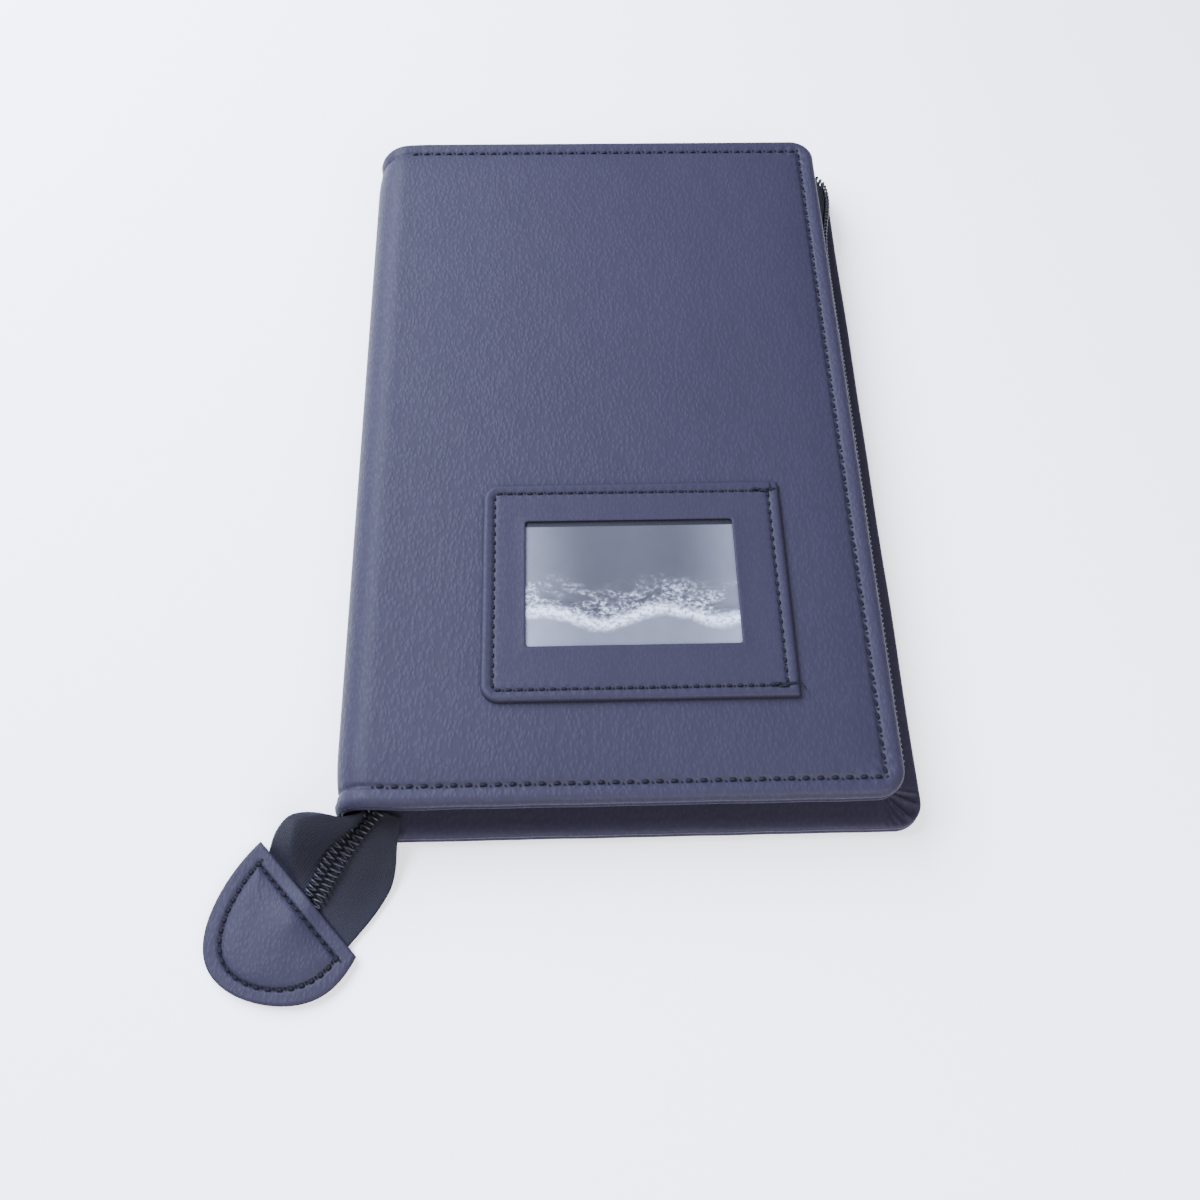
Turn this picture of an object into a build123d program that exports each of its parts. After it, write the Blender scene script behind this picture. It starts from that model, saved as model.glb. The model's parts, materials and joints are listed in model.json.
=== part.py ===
from build123d import *
from math import cos, degrees, radians, sin
import os

# A travel document organizer: two padded covers joined by a rounded spine and closed by a coil
# zip that runs round the other three sides and ends in a tail with a stitched tab.
#
# The origin is the centre of the back cover's outer face. The spine is at -X and the fore edge
# at +X, the foot of the covers is at -Y and their head at +Y, and +Z goes from the back cover
# to the front cover. Each piece is written to its own file in parts/. Millimetres.

# Covers
COVER_LENGTH = 240.0
BACK_WIDTH = 157.0
FRONT_WIDTH = 150.0
FRONT_SHIFT = 4.0
CORNER_RADIUS = 8.0
SKIN = 1.0
FOAM = 1.5
BOARD = 1.5
LINING = 0.4
TURN_IN = 12.0
RIM_ROUNDING = 1.4
PAGE_GAP = 9.5

# Spine
SPINE_RADIUS_BACK = 8.0
SPINE_RADIUS_FRONT = 10.0
SPINE_SPLIT = 45.0
SPINE_JOINT_GAP = 0.25
LINING_FROM_SPINE = 12.0

# Seams round the covers
SEAM_INSET = 5.5
SEAM_OUTSIDE = 2.5
SEAM_INSIDE = 1.5
THREAD_WIDTH = 0.8
THREAD_DEPTH = 0.35
GROOVE_WIDTH = 1.0
GROOVE_DEPTH = 0.45

# Zip
TAPE = 0.5
ZIP_RADIUS = 8.0
ZIP_HEAD_INSET = 2.5
ZIP_FOOT_INSET = 5.0
ZIP_FROM_SPINE = 18.5
ROW_GAP = 1.2
COIL_DEPTH = 1.9
RUN_CLEARANCE = 0.2
TAPE_CLEARANCE = 0.3
STOP_LENGTH = 2.0
FOOT_COIL_INSET = 2.0

# Slider and pull tab
SLIDER_LENGTH = 11.0
SLIDER_FROM_SPINE = 28.5
SLIDER_PLATE = 1.0
SLIDER_FLANGE = 0.9
SLIDER_NECK = 0.8
SLIDER_NECK_LENGTH = 4.0
SLIDER_ROUNDING = 2.0
COVER_CLEARANCE = 0.55
COIL_FROM_SLIDER = 1.2
PIN_RADIUS = 0.6
PIN_CLEARANCE = 0.06
BARREL_RADIUS = 1.2
BARREL_CLEARANCE = 0.3
LUG = 0.9
LUG_LENGTH = 3.2
PULL_LENGTH = 23.0
PULL_THICKNESS = 1.4
PULL_EYE_RADIUS = 1.5
PULL_EYE_LENGTH = 8.0

# Pocket for a card on the front cover
ID_WIDTH = 85.6
ID_HEIGHT = 68.7
ID_FROM_FORE = 25.9
ID_FROM_FOOT = 27.9
ID_CORNER = 5.0
ID_SEAM_INSET = 3.2
ID_BORDER = 5.0
ID_LEATHER = 0.6
ID_BACKING = 0.2
ID_CARD_GAP = 0.8
ID_FILM = 0.2
ID_FILM_MARGIN = 3.0
ID_INSERT = 0.25
ID_INSERT_CLEARANCE = 1.5
ID_THREAD_DEPTH = 0.25
ID_THREAD_WIDTH = 0.6
WINDOW_WIDTH = 59.2
WINDOW_HEIGHT = 39.9
WINDOW_FROM_LEFT = 12.1
WINDOW_FROM_FOOT = 16.0
WINDOW_CORNER = 1.5

# Pockets inside
POCKET_SHEET = 0.6
CARD_SHEET = 0.5
POCKET_MARGIN = 2.5
BOARDING_PASS_WIDTH = 118.0
BOARDING_PASS_HEIGHT = 172.0
PASSPORT_WIDTH = 100.0
PASSPORT_HEIGHT = 122.0
TICKET_WIDTH = 112.0
TICKET_HEIGHT = 118.0
CARD_SLOTS = 4
CARD_WIDTH = 92.0
CARD_HEIGHT = 56.0
CARD_STEP = 11.0
POCKET_CORNER = 3.0
PEN_LOOP_LENGTH = 22.0
PEN_LOOP_WIDTH = 10.2
PEN_LOOP_WALL = 0.6
PEN_LOOP_CORNER = 1.6
PEN_LOOP_FROM_SPINE = 12.5
PEN_LOOP_CLEARANCE = 2.5

# Tail of the zip and its tab
TAIL_ANGLE = 39.0
TAIL_FROM_SPINE = 8.9
TAIL_FROM_FOOT = 3.1
TAIL_HINGE = 9.0
TAIL_HINGE_GAP = 0.3
TAIL_RISE = 8.0
TAIL_SLOPE_END = 19.5
TAIL_WIDTH = 32.0
TAIL_TAPE_GAP = 0.5
TAIL_COIL_WIDTH = 5.2
TAIL_COIL_HEIGHT = 1.8
TAIL_TAPE_IN_TAB = 20.0
TAIL_COIL_IN_TAB = 14.0
TAIL_SPINE_CLEARANCE = 0.5
NECK_WIDTH = 8.0
NECK_BACK = 6.0
TAB_WIDTH = 41.0
TAB_DEPTH = 30.0
TAB_START = 23.3
TAB_SIDE = -1.5
TAB_TURN = -9.7
TAB_BOTTOM = 1.5
TAB_TOP = 2.5
TAB_SEAM_INSET = 4.0
TAB_CLEARANCE = 0.1

CUT = 1.0   # how far a cutting solid runs past what it cuts

# Worked out from the sizes above
RIM = SKIN + FOAM + BOARD + SKIN + TAPE
TURN_IN_TOP = RIM - TAPE
CORE_BOTTOM = SKIN + FOAM + BOARD
THICKNESS = 2 * RIM + PAGE_GAP
MIDDLE = THICKNESS / 2
SPINE_X = -BACK_WIDTH / 2
LINING_TOP = RIM + LINING
COIL_HEIGHT = (PAGE_GAP - 2 * COVER_CLEARANCE - 2 * SLIDER_FLANGE - ROW_GAP) / 2 - RUN_CLEARANCE
ROW_TOP = MIDDLE - ROW_GAP / 2
ROW_BOTTOM = ROW_TOP - COIL_HEIGHT


class Span:
    """Plan outline that is open towards the spine: its fore edge, foot edge and head edge."""

    def __init__(self, fore, foot, head):
        self.fore = fore
        self.foot = foot
        self.head = head

    def inset(self, distance):
        return Span(self.fore - distance, self.foot + distance, self.head - distance)

    def with_outer(self, other):
        return Span(max(self.fore, other.fore), min(self.foot, other.foot), max(self.head, other.head))

    def with_inner(self, other):
        return Span(min(self.fore, other.fore), max(self.foot, other.foot), min(self.head, other.head))

    def slab(self, left, bottom, top, radius=0.0):
        """Solid from left to the fore edge, with the two fore corners rounded."""
        return panel(left, self.fore, self.foot, self.head, bottom, top, radius)


def panel(left, right, foot, head, bottom, top, fore_radius=0.0, spine_radius=0.0):
    """Rectangular solid whose corners are rounded on its fore side, its spine side or both."""
    outline = Pos((left + right) / 2, (foot + head) / 2) * Rectangle(right - left, head - foot)
    if fore_radius:
        outline = fillet(outline.vertices().group_by(Axis.X)[-1], fore_radius)
    if spine_radius:
        outline = fillet(outline.vertices().group_by(Axis.X)[0], spine_radius)
    return Pos(0, 0, bottom) * extrude(outline, amount=top - bottom)


def band(outer, inner, left, bottom, top, outer_radius=0.0, inner_radius=0.0):
    """U-shaped solid between two outlines, open towards the spine."""
    return outer.slab(left, bottom, top, outer_radius) - inner.slab(left - CUT, bottom, top, inner_radius)


def seam(line, left, width, bottom, top):
    """Square-cornered bead or groove that follows a seam line round three sides."""
    return band(line.inset(-width / 2), line.inset(width / 2), left, bottom, top)


def strip(section, foot, head):
    """Solid whose section is drawn in X and Z, from one Y to another."""
    return extrude(Pos(0, foot, 0) * (Plane.XZ * section), amount=head - foot, dir=(0, 1, 0))


def sector(centre, outer, inner, start, size):
    """Section of a ring between two radii, over an angle in degrees."""
    outside = CenterArc(centre, outer, start, size)
    inside = CenterArc(centre, inner, start, size)
    ends = [Line(outside @ 0, inside @ 0), Line(outside @ 1, inside @ 1)]
    return make_face([outside, inside] + ends)


BACK = Span(BACK_WIDTH / 2, -COVER_LENGTH / 2, COVER_LENGTH / 2)
FRONT = Span(SPINE_X + FRONT_WIDTH, BACK.foot + FRONT_SHIFT, BACK.head + FRONT_SHIFT)
SPINE_FOOT = (BACK.foot + FRONT.foot) / 2
SPINE_HEAD = (BACK.head + FRONT.head) / 2
ZIP_WALL = Span(FRONT.fore, FRONT.foot + ZIP_FOOT_INSET, BACK.head - ZIP_HEAD_INSET)
ZIP_LEFT = SPINE_X + ZIP_FROM_SPINE
INSIDE = ZIP_WALL.inset(TAPE + TAPE_CLEARANCE)
SLIDER_X = SPINE_X + SLIDER_FROM_SPINE
COIL_LEFT_HEAD = SLIDER_X + SLIDER_LENGTH / 2 + COIL_FROM_SLIDER
COIL_LEFT_FOOT = ZIP_LEFT + FOOT_COIL_INSET


def cover_pieces(edge, spine_radius):
    """Skin, foam, board, lining, seam thread, zip tape and coil of one cover, outer face down."""
    flat = SPINE_X + spine_radius
    skin = edge.slab(flat, 0, TURN_IN_TOP, CORNER_RADIUS)
    rims = skin.faces().sort_by(Axis.Z)
    rim_edges = rims[0].edges() + rims[-1].edges()
    skin = fillet([e for e in rim_edges if e.center().X > flat + CUT / 2], RIM_ROUNDING)
    skin -= edge.inset(SKIN).slab(flat - CUT, SKIN, CORE_BOTTOM, CORNER_RADIUS - SKIN)
    skin -= edge.inset(TURN_IN).slab(flat - CUT, CORE_BOTTOM, TURN_IN_TOP)
    seam_line = edge.inset(SEAM_INSET)
    skin -= seam(seam_line, flat + CUT, GROOVE_WIDTH, 0, GROOVE_DEPTH)
    bend = sector((flat, spine_radius), spine_radius, spine_radius - SKIN, 270 - SPINE_SPLIT, SPINE_SPLIT)
    skin += strip(bend, edge.foot, edge.head)

    wall_inner = ZIP_WALL.inset(TAPE)
    flange_outer = ZIP_WALL.with_outer(seam_line.inset(-SEAM_OUTSIDE))
    flange_inner = wall_inner.with_inner(seam_line.inset(SEAM_INSIDE))
    lining_left = SPINE_X + LINING_FROM_SPINE
    lining = edge.inset(TURN_IN).with_inner(flange_inner).slab(lining_left, CORE_BOTTOM, RIM)
    lining += INSIDE.slab(lining_left, RIM, LINING_TOP, ZIP_RADIUS - TAPE - TAPE_CLEARANCE)

    tape = band(flange_outer, flange_inner, ZIP_LEFT, TURN_IN_TOP, RIM, ZIP_RADIUS)
    tape += band(ZIP_WALL, wall_inner, ZIP_LEFT, TURN_IN_TOP, ROW_TOP, ZIP_RADIUS, ZIP_RADIUS - TAPE)

    coil_outer = ZIP_WALL.inset(-COIL_DEPTH)
    coil = band(
        coil_outer, ZIP_WALL, COIL_LEFT_FOOT, ROW_BOTTOM, ROW_TOP, ZIP_RADIUS + COIL_DEPTH, ZIP_RADIUS)
    coil -= panel(SPINE_X, COIL_LEFT_HEAD, 0, BACK.head, ROW_BOTTOM - CUT, ROW_TOP + CUT)
    stop_right = SLIDER_X - SLIDER_LENGTH / 2 - COIL_FROM_SLIDER
    stop = panel(
        stop_right - STOP_LENGTH, stop_right, ZIP_WALL.head, coil_outer.head, ROW_BOTTOM, ROW_TOP)
    return {
        "skin": skin,
        "foam": edge.inset(SKIN).slab(flat, SKIN, SKIN + FOAM, CORNER_RADIUS - SKIN),
        "board": edge.inset(SKIN).slab(flat, SKIN + FOAM, CORE_BOTTOM, CORNER_RADIUS - SKIN),
        "lining": lining,
        "seam_thread": seam(seam_line, flat + CUT, THREAD_WIDTH, GROOVE_DEPTH - THREAD_DEPTH, GROOVE_DEPTH),
        "zip_tape": tape,
        "zip_coil": coil,
        "top_stop": stop,
    }


def turned_over(piece):
    """The same piece as part of the front cover, whose outer face looks up."""
    return Pos(0, 0, THICKNESS) * mirror(piece, about=Plane.XY)


def spine_section(outer, inner):
    """Section of the spine's middle strip between two depths below its outer surface."""
    low_centre = (SPINE_X + SPINE_RADIUS_BACK, SPINE_RADIUS_BACK)
    high_centre = (SPINE_X + SPINE_RADIUS_FRONT, THICKNESS - SPINE_RADIUS_FRONT)
    low_angle = SPINE_SPLIT - degrees(SPINE_JOINT_GAP / SPINE_RADIUS_BACK)
    high_angle = SPINE_SPLIT - degrees(SPINE_JOINT_GAP / SPINE_RADIUS_FRONT)
    section = sector(low_centre, SPINE_RADIUS_BACK - outer, SPINE_RADIUS_BACK - inner, 180, low_angle)
    section += sector(
        high_centre, SPINE_RADIUS_FRONT - outer, SPINE_RADIUS_FRONT - inner, 180 - high_angle, high_angle)
    straight = high_centre[1] - low_centre[1]
    middle = Pos(SPINE_X + (outer + inner) / 2, low_centre[1] + straight / 2)
    return section + middle * Rectangle(inner - outer, straight)


def spine_pieces():
    return {
        "spine_skin": strip(spine_section(0, SKIN), SPINE_FOOT, SPINE_HEAD),
        "spine_lining": strip(spine_section(SKIN, SKIN + LINING), SPINE_FOOT, SPINE_HEAD),
    }


def id_pocket_pieces():
    """Framed window on the front cover: frame, clear film, print behind it, backing and thread."""
    right = FRONT.fore - ID_FROM_FORE
    left = right - ID_WIDTH
    foot = FRONT.foot + ID_FROM_FOOT
    head = foot + ID_HEIGHT
    film_bottom = THICKNESS + ID_BACKING + ID_CARD_GAP
    film_top = film_bottom + ID_FILM
    top = film_top + ID_LEATHER
    window_left = left + WINDOW_FROM_LEFT
    window_right = window_left + WINDOW_WIDTH
    window_foot = foot + WINDOW_FROM_FOOT
    window_head = window_foot + WINDOW_HEIGHT
    cavity = (left + ID_BORDER, right, foot + ID_BORDER, head - ID_BORDER)

    def ring(width, bottom, height):
        low = ID_SEAM_INSET - width / 2
        high = ID_SEAM_INSET + width / 2
        outer = panel(left + low, right - low, foot + low, head - low, bottom, height)
        return outer - panel(left + high, right - high, foot + high, head - high, bottom, height)

    frame = panel(left, right, foot, head, THICKNESS, top, spine_radius=ID_CORNER)
    frame -= panel(cavity[0], right + CUT, cavity[2], cavity[3], THICKNESS, film_top)
    frame -= panel(
        window_left, window_right, window_foot, window_head, film_bottom, top + CUT,
        WINDOW_CORNER, WINDOW_CORNER)
    frame -= ring(GROOVE_WIDTH, top - ID_THREAD_DEPTH, top)
    return {
        "id_pocket_frame": frame,
        "id_window_film": panel(
            window_left - ID_FILM_MARGIN, window_right + ID_FILM_MARGIN,
            window_foot - ID_FILM_MARGIN, window_head + ID_FILM_MARGIN, film_bottom, film_top),
        "id_pocket_backing": panel(*cavity, THICKNESS, THICKNESS + ID_BACKING),
        "id_insert_print": panel(
            cavity[0] + ID_INSERT_CLEARANCE, right - ID_INSERT_CLEARANCE,
            cavity[2] + ID_INSERT_CLEARANCE, cavity[3] - ID_INSERT_CLEARANCE,
            film_bottom - ID_INSERT, film_bottom),
        "id_pocket_thread": ring(ID_THREAD_WIDTH, top - ID_THREAD_DEPTH, top),
    }


def back_pocket_pieces():
    """Two flat slip pockets and a pen loop on the back cover's lining."""
    fore = INSIDE.fore - POCKET_MARGIN
    foot = INSIDE.foot + POCKET_MARGIN
    second = LINING_TOP + POCKET_SHEET
    loop_left = SPINE_X + PEN_LOOP_FROM_SPINE
    loop_top = THICKNESS - LINING_TOP - PEN_LOOP_CLEARANCE
    loop = Pos(loop_left + PEN_LOOP_WIDTH / 2, (LINING_TOP + loop_top) / 2) * RectangleRounded(
        PEN_LOOP_WIDTH, loop_top - LINING_TOP, PEN_LOOP_CORNER)
    loop -= offset(loop, -PEN_LOOP_WALL)
    return {
        "boarding_pass_pocket": panel(
            fore - BOARDING_PASS_WIDTH, fore, foot, foot + BOARDING_PASS_HEIGHT,
            LINING_TOP, second, POCKET_CORNER),
        "passport_pocket": panel(
            fore - PASSPORT_WIDTH, fore, foot, foot + PASSPORT_HEIGHT,
            second, second + POCKET_SHEET, POCKET_CORNER),
        "pen_loop": strip(loop, -PEN_LOOP_LENGTH / 2, PEN_LOOP_LENGTH / 2),
    }


def front_pocket_pieces():
    """A ticket pocket and a stack of stepped card slots on the front cover's lining."""
    fore = INSIDE.fore - POCKET_MARGIN
    foot = INSIDE.foot + POCKET_MARGIN
    ceiling = THICKNESS - LINING_TOP
    slots_foot = foot + TICKET_HEIGHT + POCKET_MARGIN
    pieces = {
        "ticket_pocket": panel(
            fore - TICKET_WIDTH, fore, foot, foot + TICKET_HEIGHT,
            ceiling - POCKET_SHEET, ceiling, POCKET_CORNER),
    }
    for number in range(CARD_SLOTS):
        height = CARD_HEIGHT + (CARD_SLOTS - 1 - number) * CARD_STEP
        top = ceiling - number * CARD_SHEET
        pieces[f"card_slot_{number + 1}"] = panel(
            fore - CARD_WIDTH, fore, slots_foot, slots_foot + height, top - CARD_SHEET, top)
    return pieces


def slider_pieces():
    """Zip slider round both tapes, its pin, and the pull tab that turns on the pin."""
    low = MIDDLE - PAGE_GAP / 2 + COVER_CLEARANCE
    high = MIDDLE + PAGE_GAP / 2 - COVER_CLEARANCE
    left = SLIDER_X - SLIDER_LENGTH / 2
    right = SLIDER_X + SLIDER_LENGTH / 2
    inner_face = ZIP_WALL.head - TAPE - TAPE_CLEARANCE
    flange_face = ZIP_WALL.head + TAPE_CLEARANCE
    plate_inner = ZIP_WALL.head + COIL_DEPTH + RUN_CLEARANCE
    plate_outer = plate_inner + SLIDER_PLATE

    body = panel(left, right, plate_inner, plate_outer, low, high)
    body = fillet(body.edges().filter_by(Axis.Y), SLIDER_ROUNDING)
    inner_plate = panel(left, right, inner_face - SLIDER_PLATE, inner_face, low, high)
    body += fillet(inner_plate.edges().filter_by(Axis.Y), SLIDER_ROUNDING)
    for bottom in (low, high - SLIDER_FLANGE):
        body += panel(
            left + SLIDER_ROUNDING, right - SLIDER_ROUNDING, flange_face, plate_inner,
            bottom, bottom + SLIDER_FLANGE)
    body += panel(
        left, left + SLIDER_NECK_LENGTH, inner_face, plate_inner,
        MIDDLE - SLIDER_NECK / 2, MIDDLE + SLIDER_NECK / 2)

    pin_y = plate_outer + BARREL_CLEARANCE + BARREL_RADIUS
    for bottom in (low, high - LUG):
        lug = panel(
            SLIDER_X - LUG_LENGTH / 2, SLIDER_X + LUG_LENGTH / 2, plate_outer, pin_y + BARREL_RADIUS,
            bottom, bottom + LUG)
        body += lug - Pos(SLIDER_X, pin_y, bottom + LUG / 2) * Cylinder(PIN_RADIUS, LUG)
    pin_place = Pos(SLIDER_X, pin_y, MIDDLE)

    pull_height = high - low - 2 * LUG - 2 * RUN_CLEARANCE
    blade = Pos(SLIDER_X, 0, MIDDLE) * panel(
        0, PULL_LENGTH, pin_y - PULL_THICKNESS / 2, pin_y + PULL_THICKNESS / 2,
        -pull_height / 2, pull_height / 2)
    tip = blade.edges().filter_by(Axis.Y).group_by(Axis.X)[-1]
    blade = fillet(tip, SLIDER_ROUNDING)
    eye = SlotCenterToCenter(PULL_EYE_LENGTH, 2 * PULL_EYE_RADIUS)
    eye_x = SLIDER_X + PULL_LENGTH - PULL_EYE_LENGTH / 2 - 2 * PULL_EYE_RADIUS
    eye_cut = strip(Pos(eye_x, MIDDLE) * eye, pin_y - PULL_THICKNESS, pin_y + PULL_THICKNESS)
    pull = blade + pin_place * Cylinder(BARREL_RADIUS, pull_height)
    pull -= pin_place * Cylinder(PIN_RADIUS + PIN_CLEARANCE, pull_height)
    return {
        "slider_body": body,
        "pull_pin": pin_place * Cylinder(PIN_RADIUS, high - low),
        "pull_tab": pull - eye_cut,
    }


def tail_place():
    """Local frame of the tail: X along it from where the zip leaves the case, Y to its right."""
    along = (-sin(radians(TAIL_ANGLE)), -cos(radians(TAIL_ANGLE)), 0)
    start = (SPINE_X + TAIL_FROM_SPINE, BACK.foot + TAIL_FROM_FOOT, 0)
    return Plane(origin=start, x_dir=along, z_dir=(0, 0, 1)).location


def half_moon(inset):
    """Outline of the tab: half an ellipse on a straight edge, taken in all round by an inset."""
    oval = Ellipse(TAB_DEPTH - inset, TAB_WIDTH / 2 - inset)
    return oval & Pos(inset + TAB_DEPTH, 0) * Rectangle(2 * TAB_DEPTH, 2 * TAB_WIDTH)


def tail_pieces():
    """Zip tail beyond the foot of the spine: tapes, coil, stop and the two layers of the tab."""
    place = tail_place()
    tab_place = Pos(TAB_START, TAB_SIDE) * Rot(0, 0, TAB_TURN)
    first = TAIL_HINGE + TAIL_HINGE_GAP
    tape_end = TAB_START + TAIL_TAPE_IN_TAB
    coil_end = TAB_START + TAIL_COIL_IN_TAB
    tape_top = TAB_BOTTOM

    def ramp(bottom, height, end, left, right):
        """Strip that slopes down from the hinge and then lies flat, at a height over the tape."""
        points = [(first, TAIL_RISE), (TAIL_SLOPE_END, tape_top), (end, tape_top)]
        low = [(x, z + bottom) for x, z in points]
        high = [(x, z + bottom + height) for x, z in reversed(points)]
        return strip(make_face(Polyline(low + high, close=True)), left, right)

    half = TAIL_WIDTH / 2
    clip = panel(
        SPINE_X - BACK_WIDTH, SPINE_X + TAIL_FROM_SPINE, SPINE_FOOT - TAIL_SPINE_CLEARANCE, 0,
        -CUT, THICKNESS)
    left_tape = place * ramp(-TAPE, TAPE, tape_end, -half, -TAIL_TAPE_GAP / 2) - clip
    right_tape = place * ramp(-TAPE, TAPE, tape_end, TAIL_TAPE_GAP / 2, half)
    coil = place * ramp(0, TAIL_COIL_HEIGHT, coil_end, -TAIL_COIL_WIDTH / 2, TAIL_COIL_WIDTH / 2)
    stop = place * panel(
        coil_end, coil_end + STOP_LENGTH, -TAIL_COIL_WIDTH / 2, TAIL_COIL_WIDTH / 2,
        tape_top, tape_top + TAIL_COIL_HEIGHT)

    tape_room = half + TAB_CLEARANCE
    coil_room = TAIL_COIL_WIDTH / 2 + TAB_CLEARANCE
    stop_end = coil_end + STOP_LENGTH + TAB_CLEARANCE
    tab_bottom = tab_place * extrude(half_moon(0), amount=TAB_BOTTOM)
    tab_bottom -= panel(0, tape_end + TAB_CLEARANCE, -tape_room, tape_room, tape_top - TAPE, TAB_BOTTOM + CUT)
    tab_top = tab_place * Pos(0, 0, TAB_BOTTOM) * extrude(half_moon(0), amount=TAB_TOP)
    tab_top -= panel(0, stop_end, -coil_room, coil_room, 0, tape_top + TAIL_COIL_HEIGHT)
    tab_height = TAB_BOTTOM + TAB_TOP

    def tab_ring(width):
        line = half_moon(TAB_SEAM_INSET - width / 2) - half_moon(TAB_SEAM_INSET + width / 2)
        return tab_place * Pos(0, 0, tab_height - THREAD_DEPTH) * extrude(line, amount=THREAD_DEPTH)

    return {
        "tail_left_tape": left_tape,
        "tail_right_tape": right_tape,
        "tail_coil": coil,
        "tail_stop": stop,
        "tail_tab_bottom": place * tab_bottom,
        "tail_tab_top": place * (tab_top - tab_ring(GROOVE_WIDTH)),
        "tail_tab_thread": place * tab_ring(THREAD_WIDTH),
    }


def tail_neck():
    """Tape and coil that lead from the rear zip tape to the tail's hinge line."""
    place = tail_place()
    end = TAIL_HINGE - TAIL_HINGE_GAP
    tape = place * panel(-NECK_BACK, end, -NECK_WIDTH / 2, NECK_WIDTH / 2, TAIL_RISE - TAPE, TAIL_RISE)
    tape += panel(SPINE_X + TAIL_FROM_SPINE, ZIP_LEFT + CUT, ZIP_WALL.foot - COIL_DEPTH,
                  ZIP_WALL.foot + TAPE, TAIL_RISE - TAPE, TAIL_RISE)
    coil = place * panel(-NECK_BACK, end, -TAIL_COIL_WIDTH / 2, TAIL_COIL_WIDTH / 2,
                         TAIL_RISE, TAIL_RISE + TAIL_COIL_HEIGHT)
    return tape, coil


def build():
    pieces = {}
    back = cover_pieces(BACK, SPINE_RADIUS_BACK)
    neck_tape, neck_coil = tail_neck()
    back["zip_tape"] += neck_tape
    back["zip_coil"] = Compound(children=[back["zip_coil"], neck_coil])
    for name, piece in back.items():
        pieces[f"back_{name}"] = piece
    for name, piece in cover_pieces(FRONT, SPINE_RADIUS_FRONT).items():
        pieces[f"front_{name}"] = turned_over(piece)
    for group in (spine_pieces(), id_pocket_pieces(), back_pocket_pieces(), front_pocket_pieces(),
                  slider_pieces(), tail_pieces()):
        pieces.update(group)
    return pieces


os.makedirs("parts", exist_ok=True)
for node, solid in build().items():
    export_step(solid, f"parts/{node}.step")
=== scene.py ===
import json
from math import cos, pi, radians, sin

import bpy
import numpy as np
from mathutils import Matrix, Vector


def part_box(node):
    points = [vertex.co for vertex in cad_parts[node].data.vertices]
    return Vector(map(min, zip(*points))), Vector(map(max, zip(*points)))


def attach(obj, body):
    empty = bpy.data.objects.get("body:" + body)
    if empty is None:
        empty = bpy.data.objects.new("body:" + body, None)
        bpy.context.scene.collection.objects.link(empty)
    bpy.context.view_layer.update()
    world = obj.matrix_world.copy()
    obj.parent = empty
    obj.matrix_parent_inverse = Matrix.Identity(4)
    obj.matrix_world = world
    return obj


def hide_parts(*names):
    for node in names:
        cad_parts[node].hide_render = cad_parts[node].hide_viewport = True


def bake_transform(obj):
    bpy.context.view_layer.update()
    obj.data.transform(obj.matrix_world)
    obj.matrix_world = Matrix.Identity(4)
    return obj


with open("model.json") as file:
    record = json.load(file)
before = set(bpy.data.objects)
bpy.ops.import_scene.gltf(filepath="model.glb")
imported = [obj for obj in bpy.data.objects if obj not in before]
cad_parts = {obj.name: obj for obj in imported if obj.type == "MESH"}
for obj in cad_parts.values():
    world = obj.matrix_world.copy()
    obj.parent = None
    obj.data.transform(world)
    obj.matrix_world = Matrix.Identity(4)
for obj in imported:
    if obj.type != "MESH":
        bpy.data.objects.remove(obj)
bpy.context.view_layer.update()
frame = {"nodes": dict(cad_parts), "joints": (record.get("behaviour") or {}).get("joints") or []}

# Lengths are in millimetres here, and a mesh is scaled to metres when it is made. The row frame
# is the case lying on its back cover: the spine at -X, the foot at -Y, the front cover on top.
MM = 0.001


def node_span(node):
    """Lowest and highest corner of a CAD node, in millimetres."""
    low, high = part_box(node)
    return np.array(low) / MM, np.array(high) / MM


def joint_named(name):
    return next(j for j in frame["joints"] if j["name"] == name)


def joint_place(name):
    """A point on a joint's axis, in millimetres."""
    return np.array(joint_named(name)["pos_m"]) / MM


# Sizes read from the frame
THICKNESS = node_span("front_skin")[1][2]
MIDDLE = THICKNESS / 2
SPINE_X = node_span("spine_skin")[0][0]
SPINE_FOOT = node_span("spine_skin")[0][1]
BACK_HINGE = joint_place("spine_fold")
FRONT_HINGE = joint_place("front_cover_fold")
SPLIT_SHARE = 1 - cos(pi / 4)          # the hinge lines lie at 45 degrees on the spine's arcs
BACK_RADIUS = BACK_HINGE[2] / SPLIT_SHARE
FRONT_RADIUS = (THICKNESS - FRONT_HINGE[2]) / SPLIT_SHARE
LINING_LEVEL = node_span("back_zip_tape")[0][2] + 0.5     # the linings cover the tapes' sewn-in part

# The covers' soft outer shape
CORNER = 8.0          # radius of the outline's corners
GRID_EDGE = 3.0       # the padded face ends this far inside the outline and the rolled rim starts
SEAM = 5.5            # stitched line, inside the outline
PAD = 13.0            # the padding comes up to full height over this width
SINK = 0.85           # the seam's band lies this much lower than the padded face
BAND = 0.34           # crown of the band outside the seam
GROOVE = 0.48         # depth of the sewn groove
PITCH = 3.8           # cover stitches
SKIN = 1.0
FOAM_BASE = 2.5       # from the outer face down to the board
FILM_MARGIN = 3.0     # the window's film is sewn in behind the frame by this much all round
PLEAT_REACH = 12.0    # the turned-in leather is gathered this far round each fore corner
FOOT_DRAW = 2.6       # the zip's tail draws the foot end of the spine in by this much
# The rolled rim's section, from the padded face round the edge and in under the cover: inset from the
# outline, depth below the outer face
RIM_PROFILE = np.array([
    (3.0, 0.36), (1.8, 0.5), (0.8, 1.05), (0.2, 1.95), (0.3, 2.8), (0.9, 3.3), (1.05, 3.6),
    (0.45, 3.75), (0.15, 4.2), (0.45, 4.8), (1.6, 5.05), (5.0, 5.0), (12.0, 5.0)])


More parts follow.
